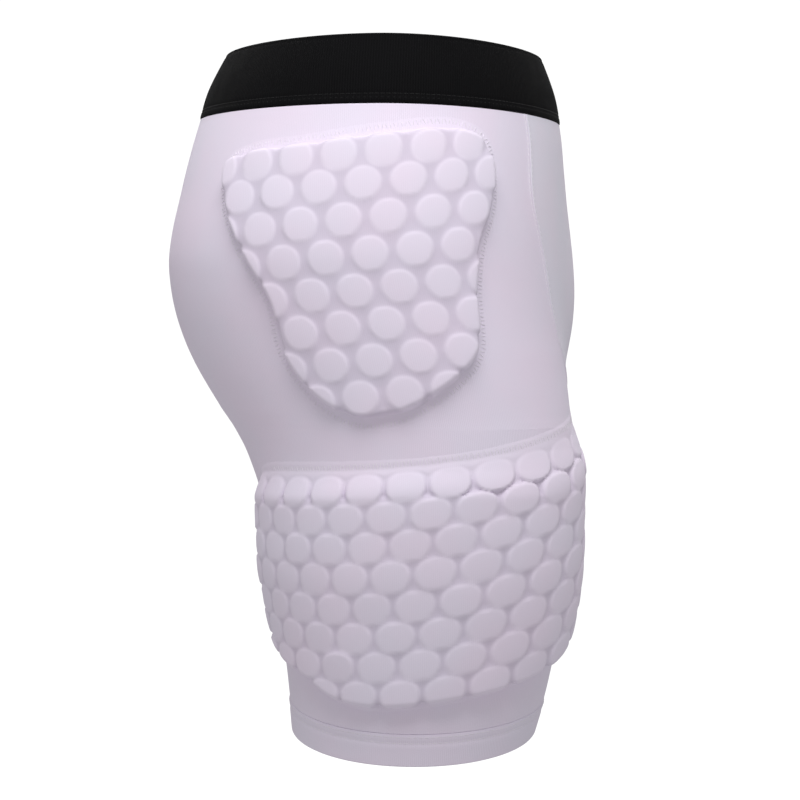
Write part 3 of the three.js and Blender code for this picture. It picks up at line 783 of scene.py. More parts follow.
class SHORTS_OT_cloth(Operator):
    """Knit body and front panel, with the seam between them"""

    bl_idname = "shorts.cloth"
    bl_label = "Body and front panel"

    UPPER_ROWS = 64
    LOWER_ROWS = 44
    BODY_COLUMNS = 124
    PANEL_COLUMNS = 34
    # Gaps to the waistband above and to the hem bands below
    TOP_GAP = 0.3 * MM
    BOTTOM_GAP = 0.12 * MM
    # Columns between the first lines of the leg, where no seam is near
    LEG_SPACING = 0.125
    BODY_FLAT = (0.84, 0.36)
    BODY_AREA = 0.28
    PANEL_FLAT = (0.22, 0.21)
    PANEL_AREA = 0.036

    def execute(self, context):
        scene = context.scene
        surface = body_surface()
        cloth = scene.shorts_cloth
        upper = surface.upper_drops(scene.shorts_waistband.height + self.TOP_GAP, self.UPPER_ROWS)
        bottom = surface.bottom - scene.shorts_hem.height - self.BOTTOM_GAP
        drops = np.r_[upper, surface.lower_drops(bottom, self.LOWER_ROWS)[1:]]
        seam, span = seam_columns(drops)
        ridge = cloth.seam_ridge

        rows = self.UPPER_ROWS
        near = seam[:, None] + SEAM_OFFSETS[None, :] / span[:, None]
        near[seam <= 0] = (np.arange(len(SEAM_OFFSETS)) * self.LEG_SPACING)[None, :]
        far = np.linspace(0, 1, self.BODY_COLUMNS)[None, 1:] * (surface.last - near[:, -1:]) + near[:, -1:]
        columns = np.c_[near, far]
        distance = (columns - seam[:, None]) * span[:, None]
        outer = np.where(seam[:, None] > 0, seam_relief(distance, ridge), 0.0)
        tint = tuple(cloth.tint)
        knit = finish_named("knit_body", lambda name: knit_finish(name, tint, cloth))
        body = cloth_shell("shorts_body", drops, columns, outer, outer - cloth.wall, knit, 0, rows)
        tie(body, "body")

        drops, seam, span = upper, seam[: rows + 1], span[: rows + 1]
        width = seam * span
        squeeze = np.minimum(1, width / (2 * SEAM_OFFSETS[-1]))[:, None]
        near = seam[:, None] - SEAM_OFFSETS[None, ::-1] * squeeze / span[:, None]
        far = np.linspace(0, 1, self.PANEL_COLUMNS)[None, :-1] * near[:, :1]
        columns = np.maximum(np.c_[far, near], 0)
        distance = (seam[:, None] - columns) * span[:, None]
        outer = seam_relief(distance, ridge) * squeeze
        front_tint = tuple(cloth.front_tint)
        knit = finish_named("knit_front", lambda name: knit_finish(name, front_tint, cloth))
        panel = cloth_shell("shorts_front_panel", drops, columns, outer, outer - cloth.wall, knit, -1, rows)
        tie(panel, "front_panel")
        return {"FINISHED"}


def swept_band(name, profile, columns, material, both_halves):
    """A band with a closed profile of (drop, height), run round the body or round one leg."""
    surface = body_surface()
    drop = np.array([p[0] for p in profile])[:, None]
    height = np.array([p[1] for p in profile])[:, None]
    column = np.linspace(0, surface.last, columns + 1)[None, :]
    drop, column = np.broadcast_arrays(drop, column)
    points = surface.raised(drop, column, height).reshape(-1, 3)
    uv = np.stack([surface.forward_of(column, drop), drop], axis=-1).reshape(-1, 2)
    rows = len(profile)
    faces = grid_faces(rows, columns + 1)
    index = np.arange(rows * (columns + 1)).reshape(rows, -1)
    faces = np.r_[faces, strip_faces(index[-1], index[0])]
    if both_halves:
        points, faces, uv = with_mirror(points, faces, uv)
    piece = new_piece(name, points, faces, uv, material)
    clean_mesh(piece, JOIN_DISTANCE)
    return piece


def both_sides(right):
    """A piece on the wearer's right and its mirror image on the left, each with its side."""
    left = bpy.data.objects.new(right.name.replace("right", "left"), right.data.copy())
    left.data.name = left.name
    points = np.empty(len(left.data.vertices) * 3, np.float32)
    left.data.vertices.foreach_get("co", points)
    points[0::3] *= -1
    left.data.vertices.foreach_set("co", points)
    left.data.flip_normals()
    left.data.update()
    bpy.context.scene.collection.objects.link(left)
    return ("right", right), ("left", left)


FACE_STEP = 0.9 * MM


def rounded_profile(top, bottom, outer, wall, dents, steps=5):
    """A band's closed profile: rounded at both edges, with shallow dents where it is stitched."""
    radius = wall / 2
    middle = outer - radius
    turns = np.linspace(-math.pi / 2, math.pi / 2, steps + 2)
    upper = [(top + radius * (1 - math.cos(a)), middle + radius * math.sin(a)) for a in turns]
    lower = [(bottom - radius * (1 - math.cos(a)), middle + radius * math.sin(a)) for a in turns[::-1]]
    face = np.arange(top + radius, bottom - radius, FACE_STEP)[1:]
    relief = sum(-depth * np.exp(-(((face - at) / width) ** 2)) for at, depth, width in dents)
    return upper + list(zip(face, outer + relief)) + lower


# Rows of stitches on the waistband, above its lower edge
WAISTBAND_ROWS = (5.5 * MM, 3.2 * MM)


class SHORTS_OT_waistband(Operator):
    """Black woven elastic round the waist"""

    bl_idname = "shorts.waistband"
    bl_label = "Waistband"

    COLUMNS = 190
    FLAT = (0.72, 0.042)
    # How far the upper dent lies below the rim
    TOP_PLACE = 3.5 * MM
    # Depth and width of the upper dent, of the one at the upper row of stitches, and of the swell between
    TOP_DENT = (0.25 * MM, 0.9 * MM)
    SEWN_DENT = (0.35 * MM, 1.1 * MM)
    MIDDLE_SWELL = (-0.5 * MM, 17 * MM)

    def execute(self, context):
        look = context.scene.shorts_waistband
        elastic = finish_named("woven_elastic", lambda name: elastic_finish(name, look))
        dents = (
            (self.TOP_PLACE, *self.TOP_DENT),
            (look.height - WAISTBAND_ROWS[0], *self.SEWN_DENT),
            (look.height / 2, *self.MIDDLE_SWELL),
        )
        profile = rounded_profile(0, look.height, look.proud, look.wall, dents)
        band = swept_band("shorts_waistband", profile, self.COLUMNS, elastic, both_halves=True)
        tie(band, "waistband")
        return {"FINISHED"}


# The hem's two rows of stitches: distance below its top edge, and depth of the dent they draw
HEM_ROWS = ((1.6 * MM, 0.12 * MM), (4.6 * MM, 0.5 * MM))


class SHORTS_OT_hems(Operator):
    """Folded and coverstitched band round each leg's end"""

    bl_idname = "shorts.hems"
    bl_label = "Hem bands"

    COLUMNS = 200
    FLAT = (0.46, 0.019)
    DENT_WIDTH = 1.1 * MM
    EASED_TOP = 2 * MM

    def execute(self, context):
        look = context.scene.shorts_hem
        cloth = context.scene.shorts_cloth
        bottom = body_surface().bottom
        top = bottom - look.height
        dents = [(top + below, depth, self.DENT_WIDTH) for below, depth in HEM_ROWS]
        profile = rounded_profile(top, bottom, look.proud, look.wall, dents)
        eased = smooth_step((np.array([p[0] for p in profile]) - top) / self.EASED_TOP)
        profile = [(drop, min(height, height * share)) for (drop, height), share in zip(profile, eased)]
        tint = tuple(look.tint)
        knit = finish_named("knit_hem", lambda name: knit_finish(name, tint, cloth))
        right = swept_band("shorts_hem_right", profile, self.COLUMNS, knit, both_halves=False)
        for side, piece in both_sides(right):
            tie(piece, "hem_" + side)
        return {"FINISHED"}


def closed_curve(corners, per_span=14):
    """A smooth closed curve through its corners, eased by the distance between them."""
    count = len(corners)
    points = []
    for k in range(count):
        a, b, c, d = (corners[(k + j - 1) % count] for j in range(4))
        gap = [max(np.linalg.norm(q - p), TINY) ** 0.5 for p, q in ((a, b), (b, c), (c, d))]
        out_ = ((b - a) / gap[0] - (c - a) / (gap[0] + gap[1]) + (c - b) / gap[1]) * gap[1]
        in_ = ((c - b) / gap[1] - (d - b) / (gap[1] + gap[2]) + (d - c) / gap[2]) * gap[1]
        points += [cubic(t, b, out_, c, in_) for t in np.arange(per_span) / per_span]
    return np.array(points)


def pad_outline(pad):
    across, down = np.array(pad["outline"]).T
    corners = (pad["middle"] + across * pad["half_width"], pad["top"] + down * pad["height"])
    return closed_curve(np.stack(corners, axis=1))


def from_outline(points, outline):
    """Distance inside the outline, negative outside, and the nearest place on it."""
    start, end = outline, np.roll(outline, -1, axis=0)
    best = np.full(len(points), np.inf)
    nearest = np.zeros((len(points), 2))
    crossings = np.zeros(len(points), int)
    for p, q in zip(start, end):
        along = q - p
        t = np.clip(((points - p) @ along) / (along @ along), 0, 1)
        place = p + t[:, None] * along
        gap = np.linalg.norm(points - place, axis=1)
        closer = gap < best
        best[closer], nearest[closer] = gap[closer], place[closer]
        spans = (p[1] > points[:, 1]) != (q[1] > points[:, 1])
        rise = along[1] if abs(along[1]) > TINY else TINY
        crossings += spans & (points[:, 0] < p[0] + (points[:, 1] - p[1]) * along[0] / rise)
    return np.where(crossings % 2 == 1, best, -best), nearest


# Cells whose middle lies farther outside the outline than this are left out.
CELL_OUTSIDE = 5.5 * MM


def pad_cells(pad, outline):
    """Each foam cell's middle, half width and half height, and three random numbers that tilt its top."""
    rng = np.random.default_rng(SEED)
    reach = int((pad["half_width"] + abs(pad["middle"])) / pad["pitch"]) + 2
    cells = []
    for row in range(pad["rows"]):
        for step in range(-reach, reach + 1):
            place = step + (row % 2) / 2
            forward = pad["first_cell"] + pad["pitch"] * place + pad["widen"] * place**2 + pad["lean"] * row
            stretch = 1 + 2 * pad["widen"] * place / pad["pitch"]
            drop = pad["first_row_drop"] + pad["row_step"] * row
            if row == 0:
                drop += pad["first_row_shift"]
            chance = rng.normal(size=3)
            cells.append((forward, drop, pad["cell_across"] * stretch, pad["cell_down"], *chance))
    cells = np.array(cells)
    inside, _ = from_outline(cells[:, :2], outline)
    return cells[inside > -CELL_OUTSIDE]


def on_body(pad, forward, flat_drop):
    """Drop and column on the body of points of a pad's flat plan."""
    drop = flat_drop - pad["climb"] * forward - pad["bow"] * forward**2
    return drop, body_surface().column_of(forward, drop)


def wrapped(pad, forward, flat_drop, height):
    return body_surface().raised(*on_body(pad, forward, flat_drop), height)


# The cover is simulated at twenty times its size, because its points are only a millimetre apart.
CLOTH_SCALE = 20
CLOTH_FRAMES = 24
CLOTH_SETTINGS = {
    "quality": 5, "mass": 0.25, "tension_stiffness": 18, "compression_stiffness": 18, "shear_stiffness": 8,
    "bending_stiffness": 0.6, "air_damping": 4, "shrink_min": 0.02, "vertex_group_mass": "held",
}


def held_by_cloth(points, faces, held, load):
    """Blender's Cloth on the cover, held on the cell tops and the margin and drawn in between them."""
    mesh = bpy.data.meshes.new("cover_cloth")
    mesh.from_pydata((points * CLOTH_SCALE).tolist(), [], faces.tolist())
    cover = bpy.data.objects.new("cover_cloth", mesh)
    scene = bpy.context.scene
    scene.collection.objects.link(cover)
    cover.vertex_groups.new(name="held").add(np.flatnonzero(held).tolist(), 1.0, "REPLACE")
    modifier = cover.modifiers.new("cloth", "CLOTH")
    for setting, value in CLOTH_SETTINGS.items():
        setattr(modifier.settings, setting, value)
    modifier.settings.effector_weights.gravity = load
    modifier.collision_settings.use_collision = False
    modifier.collision_settings.use_self_collision = False
    modifier.point_cache.frame_start = 1
    modifier.point_cache.frame_end = CLOTH_FRAMES
    for step in range(1, CLOTH_FRAMES + 1):
        scene.frame_set(step)
    shape = cover.evaluated_get(bpy.context.evaluated_depsgraph_get()).data
    moved = np.empty(len(points) * 3, np.float32)
    shape.vertices.foreach_get("co", moved)
    bpy.data.objects.remove(cover)
    bpy.data.meshes.remove(mesh)
    scene.frame_set(1)
    return moved.reshape(-1, 3).astype(float) / CLOTH_SCALE


# Places across a cell are shares of its half width: its top is flat up to the first, its wall ends at
# the second, and beyond the third the pad's edge draws in between the cells, over the reach.
CELL_FLAT = 0.86
CELL_FOOT = 1.07
SCALLOP_START = 0.95
SCALLOP_REACH = 0.35
NO_CELL = 9.0
CELL_CHANCE = 0.16 * MM
# The foam swells past its outline. Its grooves are shallow at the edge and deepen over the reach.
SWELL = 1 * MM
EDGE_GROOVE = 0.4
GROOVE_START = 3 * MM
GROOVE_REACH = 6 * MM
EDGE_POWER = 2.2
FRONT_RAMP_START = -20 * MM
FRONT_RAMP_REACH = 130 * MM
# The cover lies on the foam, and is held, where the foam rises less than this share.
FULL_RISE = 0.98
# Between the cells the cover starts at this share of the foam's height and settles in these passes. Cloth
# starts from a tauter cover, with this share of the quick cover's load.
SLACK_START = 0.8
SAG_PASSES = 260
TAUT_SAG = 0.4


class PadPlan:
    """A pad laid flat: the cover's grid, the foam under it, the height that the cover takes and where its
    grooves are painted in shade.
    """

    RIM_REACH = 0.4

    def __init__(self, pad, look):
        self.pad, self.look = pad, look
        outline = pad_outline(pad)
        margin, step = pad["margin"], look.grid
        low, high = outline.min(0) - margin - step, outline.max(0) + margin + step
        across, down = (np.arange(low[k], high[k] + step, step) for k in range(2))
        self.size = (len(down), len(across))
        grid = np.stack(np.meshgrid(across, down), axis=-1).reshape(-1, 2)
        inside, nearest = from_outline(grid, outline)
        kept = (inside > -margin - self.RIM_REACH * step).reshape(self.size)
        cells = kept[:-1, :-1] & kept[:-1, 1:] & kept[1:, 1:] & kept[1:, :-1]
        index = np.arange(kept.size).reshape(self.size)
        quads = np.stack([index[:-1, :-1], index[1:, :-1], index[1:, 1:], index[:-1, 1:]], axis=-1)[cells]
        used = np.zeros(kept.size, bool)
        used[quads.ravel()] = True
        self.rim = used & (np.bincount(quads.ravel(), minlength=kept.size) < 4)
        outward = (grid - nearest) * np.where(inside > 0, -1, 1)[:, None]
        outward /= np.maximum(np.linalg.norm(outward, axis=1, keepdims=True), TINY)
        grid[self.rim] = (nearest + outward * margin)[self.rim]
        inside[self.rim] = -margin
        self.grid, self.inside, self.used, self.quads = grid, inside, used, quads
        self.outline = outline
        self.shape_foam()

    def shape_foam(self):
        pad, look, power = self.pad, self.look, self.pad["cell_power"]
        nearest = np.full(len(self.grid), NO_CELL)
        top = np.full(len(self.grid), look.foam)
        for forward, drop, across, down, lift, tilt_f, tilt_d in pad_cells(pad, self.outline):
            df, dv = (self.grid[:, 0] - forward) / across, (self.grid[:, 1] - drop) / down
            ratio = (np.abs(df) ** power + np.abs(dv) ** power) ** (1 / power)
            closer = ratio < nearest
            nearest[closer] = ratio[closer]
            lean = CELL_CHANCE * (lift + tilt_f * df + tilt_d * dv)
            top[closer] = look.foam + lean[closer]
        wall = smooth_step((nearest - CELL_FLAT) / (CELL_FOOT - CELL_FLAT))
        scallop = pad["scallop"] * smooth_step((nearest - SCALLOP_START) / SCALLOP_REACH)
        inside = self.inside + SWELL - scallop
        deep = EDGE_GROOVE + (1 - EDGE_GROOVE) * smooth_step((inside - GROOVE_START) / GROOVE_REACH)
        cell = top - look.crown * np.clip(nearest, 0, 1) ** 2 - pad["groove"] * deep * wall
        ahead = smooth_step((self.grid[:, 0] - FRONT_RAMP_START) / FRONT_RAMP_REACH)
        ramp = (self.grid[:, 1] - pad["top"] + SWELL) / (pad["top_ramp"] + pad["front_ramp"] * ahead)
        rise = np.clip(inside / pad["edge_width"], 0, 1)
        share = (1 - (1 - rise) ** EDGE_POWER) * smooth_step(2 * rise) * smooth_step(ramp)
        sewn = smooth_step(1 + self.inside / pad["margin"])
        low = -look.tuck + (look.patch + look.tuck) * sewn
        self.foam = low + (cell - low) * share
        # How much painted shade the cover takes, full in the grooves between the cells.
        self.web = wall * share
        self.held = (share < FULL_RISE) | (nearest < CELL_FLAT) | self.rim

    def relaxed(self, load):
        """Height of a stretched cover: held points stay, the others find the mean of their neighbours."""
        height = np.where(self.held, self.foam, self.look.foam * SLACK_START).reshape(self.size)
        foam = self.foam.reshape(self.size)
        held = (self.held | ~self.used).reshape(self.size)
        for _ in range(SAG_PASSES):
            mean = np.copy(height)
            around = height[:-2, 1:-1] + height[2:, 1:-1] + height[1:-1, :-2] + height[1:-1, 2:]
            mean[1:-1, 1:-1] = around / 4
            height = np.where(held, height, np.maximum(mean - load, foam))
        return height.ravel()

    def cover(self):
        """The cover's points, laid flat, with their height."""
        names = np.cumsum(self.used) - 1
        faces = names[self.quads]
        sag = self.pad["sag"] * TAUT_SAG
        points = np.c_[self.grid, self.relaxed(sag)][self.used]
        points = held_by_cloth(points, faces, self.held[self.used], self.look.pull * self.pad["pull"])
        points[:, 2] = np.maximum(points[:, 2], self.foam[self.used])
        return points, faces


def rim_loop(faces):
    """The outer edge of a sheet of quads, as pairs of points."""
    edges = np.concatenate([faces[:, [k, (k + 1) % 4]] for k in range(4)])
    key = np.sort(edges, axis=1)
    _, first, count = np.unique(key, axis=0, return_index=True, return_counts=True)
    return edges[first[count == 1]]


def pad_piece(name, pad, look, material):
    plan = PadPlan(pad, look)
    points, faces = plan.cover()
    count = len(points)
    height = points[:, 2]
    outer = wrapped(pad, points[:, 0], points[:, 1], height)
    under = wrapped(pad, points[:, 0], points[:, 1], np.minimum(look.clearance, height - look.tuck))
    rim = rim_loop(faces)
    walls = np.stack([rim[:, 1], rim[:, 0], rim[:, 0] + count, rim[:, 1] + count], axis=-1)
    all_faces = np.r_[faces, faces[:, ::-1] + count, walls]
    uv = np.r_[points[:, :2], points[:, :2]]
    # The same painted groove shade on the cover's top and on its underside.
    web = plan.web[plan.used]
    piece = new_piece(name, np.r_[outer, under], all_faces, uv, material, np.r_[web, web])
    clean_mesh(piece, PAD_JOIN_DISTANCE)
    return piece


# The knit's relief and the painted shade between its ribs on a pad, as a share of the body's, because it is
# stretched there
PAD_RELIEF = 0.5


def add_pads(context, pad, part):
    look, cloth = context.scene.shorts_pad, context.scene.shorts_cloth
    tint = tuple(look.tint)
    # The pad's cover is painted darker in its grooves, as shade.
    cover = finish_named(
        "knit_pad", lambda name: knit_finish(name, tint, cloth, relief=PAD_RELIEF, web="deep")
    )
    right = pad_piece(f"shorts_{part}_right", pad, look, cover)
    for side, piece in both_sides(right):
        tie(piece, f"{part}_{side}")


class SHORTS_OT_hip_pads(Operator):
    """Foam cells under a stretched cover on each hip"""

    bl_idname = "shorts.hip_pads"
    bl_label = "Hip pads"

    def execute(self, context):
        add_pads(context, HIP_PAD, "hip_pad")
        return {"FINISHED"}


class SHORTS_OT_thigh_pads(Operator):
    """Close rows of foam cells under a stretched cover on each thigh"""

    bl_idname = "shorts.thigh_pads"
    bl_label = "Thigh pads"

    def execute(self, context):
        add_pads(context, THIGH_PAD, "thigh_pad")
        return {"FINISHED"}


STITCH_INPUTS = (
    ("Step", "NodeSocketFloat", 3 * MM),
    ("Stitch Length", "NodeSocketFloat", 2.5 * MM),
    ("Thread Radius", "NodeSocketFloat", 0.2 * MM),
    ("Slant", "NodeSocketFloat", 0.0),
    ("Slant Change", "NodeSocketFloat", 0.0),
    ("Unevenness", "NodeSocketFloat", 0.08),
    ("Seed", "NodeSocketInt", SEED),
    ("Thread", "NodeSocketMaterial", None),
)


class StitchTree(Nodes):
    """Geometry Nodes that set short arched stitches along a path, square to the cloth."""

    # Heights on a stitch, as shares of the thread's radius
    SUNK_ENDS = -0.9
    RAISED_MIDDLE = 1.5
    STITCH_STEPS = 5
    THREAD_SIDES = 5

    def __init__(self):
        super().__init__(bpy.data.node_groups.new("stitches_along_path", "GeometryNodeTree"))
        face = self.tree.interface
        face.new_socket("Path", in_out="INPUT", socket_type="NodeSocketGeometry")
        for name, kind, default in STITCH_INPUTS:
            socket = face.new_socket(name, in_out="INPUT", socket_type=kind)
            if default is not None:
                socket.default_value = default
        face.new_socket("Stitches", in_out="OUTPUT", socket_type="NodeSocketGeometry")
        self.given = {socket.name: Term(self, socket) for socket in self.node("NodeGroupInput").outputs}
        self.join(self.node("NodeGroupOutput").inputs[0], self.stitches())

    def stitch(self):
        """One stitch along X: a thread that arches up and dips back into the cloth at both ends."""
        half, radius = self.given["Stitch Length"] * 0.5, self.given["Thread Radius"]
        low, high = radius * self.SUNK_ENDS, radius * self.RAISED_MIDDLE
        ends = ({"X": half * -1.0, "Z": low}, {"Z": high}, {"X": half, "Z": low})
        start, middle, end = (self.term("ShaderNodeCombineXYZ", {}, place) for place in ends)
        arch = {"Resolution": self.STITCH_STEPS, "Start": start, "Middle": middle, "End": end}
        arch = self.term("GeometryNodeCurveQuadraticBezier", {}, arch)
        ring = {"Resolution": self.THREAD_SIDES, "Radius": radius}
        ring = self.term("GeometryNodeCurvePrimitiveCircle", {}, ring)
        tube = {"Curve": arch, "Profile Curve": ring, "Fill Caps": True}
        return self.term("GeometryNodeCurveToMesh", {}, tube)

    def turned(self, outward):
        """Each stitch's turn: square to the cloth, and slanted from the path, every other one by more."""
        given = self.given
        odd = self.term("GeometryNodeInputIndex").maths("MODULO", 2.0)
        chance = self.node("FunctionNodeRandomValue", {"data_type": "FLOAT"}, {"Seed": given["Seed"]})
        limits = [s for s in chance.inputs if s.enabled][:2]
        for limit, value in zip(limits, (-1.0, 1.0)):
            limit.default_value = value
        spread = Term(self, next(s for s in chance.outputs if s.enabled))
        angle = given["Slant"] + odd * given["Slant Change"] + spread * given["Unevenness"]
        along = self.term("GeometryNodeInputTangent")
        slanted = {"Vector": along, "Axis": outward, "Angle": angle}
        slanted = self.term("ShaderNodeVectorRotate", {"rotation_type": "AXIS_ANGLE"}, slanted)
        turn = self.term("FunctionNodeAlignRotationToVector", {"axis": "X"}, {"Vector": slanted})
        upright = {"Rotation": turn, "Vector": outward}
        return self.term("FunctionNodeAlignRotationToVector", {"axis": "Z", "pivot_axis": "X"}, upright)

    def stitches(self):
        given = self.given
        curve = self.term("GeometryNodeMeshToCurve", {}, {"Mesh": given["Path"]})
        spaced = {"Curve": curve, "Length": given["Step"]}
        spaced = self.term("GeometryNodeResampleCurve", {"mode": "LENGTH"}, spaced)
        vector = {"data_type": "FLOAT_VECTOR"}
        outward = self.term("GeometryNodeInputNamedAttribute", vector, {"Name": "outward"}, "Attribute")
        turn = self.turned(outward)
        placed = {"Points": spaced, "Instance": self.stitch(), "Rotation": turn}
        placed = self.term("GeometryNodeInstanceOnPoints", {}, placed)
        real = self.term("GeometryNodeRealizeInstances", {}, {"Geometry": placed})
        return self.term("GeometryNodeSetMaterial", {}, {"Geometry": real, "Material": given["Thread"]})


class StitchPath:
    """Lines on the cloth that carry stitches, each point with the cloth's outward direction."""

    def __init__(self):
        self.points, self.outward, self.edges = [], [], []

    def add(self, points, outward, closed):
        start = len(self.points)
        self.points += points.tolist()
        self.outward += outward.tolist()
        self.edges += [(start + k, start + k + 1) for k in range(len(points) - 1)]
        if closed:
            self.edges.append((start + len(points) - 1, start))

    def add_both_sides(self, drop, column, height, closed):
        """A line on the wearer's right and its mirror image on the left."""
        surface = body_surface()
        points, outward = surface.raised(drop, column, height), surface.normal(drop, column)
        mirror = np.array([-1, 1, 1])
        self.add(points, outward, closed)
        self.add((points * mirror)[::-1], (outward * mirror)[::-1], closed)

    def stitched(self, name, tree, values):
        mesh = bpy.data.meshes.new(name + "_path")
        mesh.from_pydata(self.points, self.edges, [])
        outward = mesh.attributes.new("outward", "FLOAT_VECTOR", "POINT")
        outward.data.foreach_set("vector", np.asarray(self.outward, np.float32).ravel())
        path = bpy.data.objects.new(name + "_path", mesh)
        bpy.context.scene.collection.objects.link(path)
        modifier = path.modifiers.new("stitches", "NODES")
        modifier.node_group = tree
        for item in tree.interface.items_tree:
            if item.in_out == "INPUT" and item.name in values:
                modifier[item.identifier] = values[item.name]
        depsgraph = bpy.context.evaluated_depsgraph_get()
        made = bpy.data.meshes.new_from_object(path.evaluated_get(depsgraph), depsgraph=depsgraph)
        made.name = name
        bpy.data.objects.remove(path)
        bpy.data.meshes.remove(mesh)
        piece = bpy.data.objects.new(name, made)
        bpy.context.scene.collection.objects.link(piece)
        made.shade_smooth()
        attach(piece, "root")
        return piece


def offset_outline(outline, distance):
    ahead, behind = np.roll(outline, -1, axis=0), np.roll(outline, 1, axis=0)
    along = ahead - behind
    along /= np.linalg.norm(along, axis=1, keepdims=True)
    area = np.sum(outline[:, 0] * ahead[:, 1] - ahead[:, 0] * outline[:, 1])
    outward = np.stack([along[:, 1], -along[:, 0]], axis=1) * np.sign(area)
    return outline + outward * distance


class SHORTS_OT_stitching(Operator):
    """Zigzag round the hip patches, and rows of stitches on the bands and seams"""

    bl_idname = "shorts.stitching"
    bl_label = "Stitching"

    SLANT = math.radians(78)
    SLANT_CHANGE = math.radians(24)
    OUTSIDE_HIP_PAD = 3.6 * MM
    THIGH_SHARE = 0.86
    THIGH_POINTS = 90
    BELOW_THIGH_TOP = 0.8 * MM
    THIGH_ZIGZAG = {"Step": 2.0 * MM, "Stitch Length": 4.4 * MM}
    ROUND_POINTS = 161
    SEAM_POINTS = 60
    BELOW_WAISTBAND = 2 * MM
    ABOVE_CROTCH = 6 * MM
    BESIDE_SEAM = 2.2 * MM
    SEAM_HEIGHT = 0.2 * MM
    WAISTBAND_LIFT = 0.02 * MM

    def execute(self, context):
        scene = context.scene
        look, pads, surface = scene.shorts_stitching, scene.shorts_pad, body_surface()
        white = finish_named("thread_white", lambda name: thread_finish(name, tuple(look.tint)))
        dark = finish_named("thread_dark", lambda name: thread_finish(name, tuple(look.dark_tint)))
        tree = StitchTree().tree
        across = {
            "Step": look.zigzag_step, "Stitch Length": look.zigzag_length, "Thread Radius": look.thread,
            "Slant": self.SLANT, "Slant Change": self.SLANT_CHANGE, "Unevenness": 0.07, "Thread": white,
        }
        along = {
            "Step": look.line_step, "Stitch Length": look.line_length, "Thread Radius": look.thread,
            "Unevenness": 0.03, "Thread": white,
        }

        path = StitchPath()
        line = offset_outline(pad_outline(HIP_PAD), self.OUTSIDE_HIP_PAD)
        path.add_both_sides(*on_body(HIP_PAD, line[:, 0], line[:, 1]), pads.patch, closed=True)
        path.stitched("hip_patch_zigzag", tree, across)

        path = StitchPath()
        share = np.linspace(-self.THIGH_SHARE, self.THIGH_SHARE, self.THIGH_POINTS)
        forward = share * THIGH_PAD["half_width"] + THIGH_PAD["middle"]
        drop = np.full(self.THIGH_POINTS, THIGH_PAD["top"] + self.BELOW_THIGH_TOP)
        path.add_both_sides(*on_body(THIGH_PAD, forward, drop), pads.patch, closed=False)
        values = across | self.THIGH_ZIGZAG
        path.stitched("thigh_patch_zigzag", tree, values)

        path = StitchPath()
        hem = scene.shorts_hem
        column = np.linspace(0, surface.last, self.ROUND_POINTS)
        for below, depth in HEM_ROWS:
            drop = surface.bottom - hem.height + below
            path.add_both_sides(drop, column[:-1], hem.proud - depth, closed=True)
        path.stitched("hem_coverstitch", tree, along)

        path = StitchPath()
        drop = surface.upper_drops(scene.shorts_waistband.height + self.BELOW_WAISTBAND, self.SEAM_POINTS)
        drop = drop[drop < surface.rise - self.ABOVE_CROTCH]
        seam, span = seam_columns(drop)
        for side in (-1, 1):
            path.add_both_sides(drop, seam + side * self.BESIDE_SEAM / span, self.SEAM_HEIGHT, closed=False)
        path.stitched("front_seam_stitches", tree, along)

        path = StitchPath()
        band = scene.shorts_waistband
        for above in WAISTBAND_ROWS:
            path.add_both_sides(band.height - above, column, band.proud + self.WAISTBAND_LIFT, closed=False)
        path.stitched("waistband_stitches", tree, dict(along, Thread=dark))
        return {"FINISHED"}


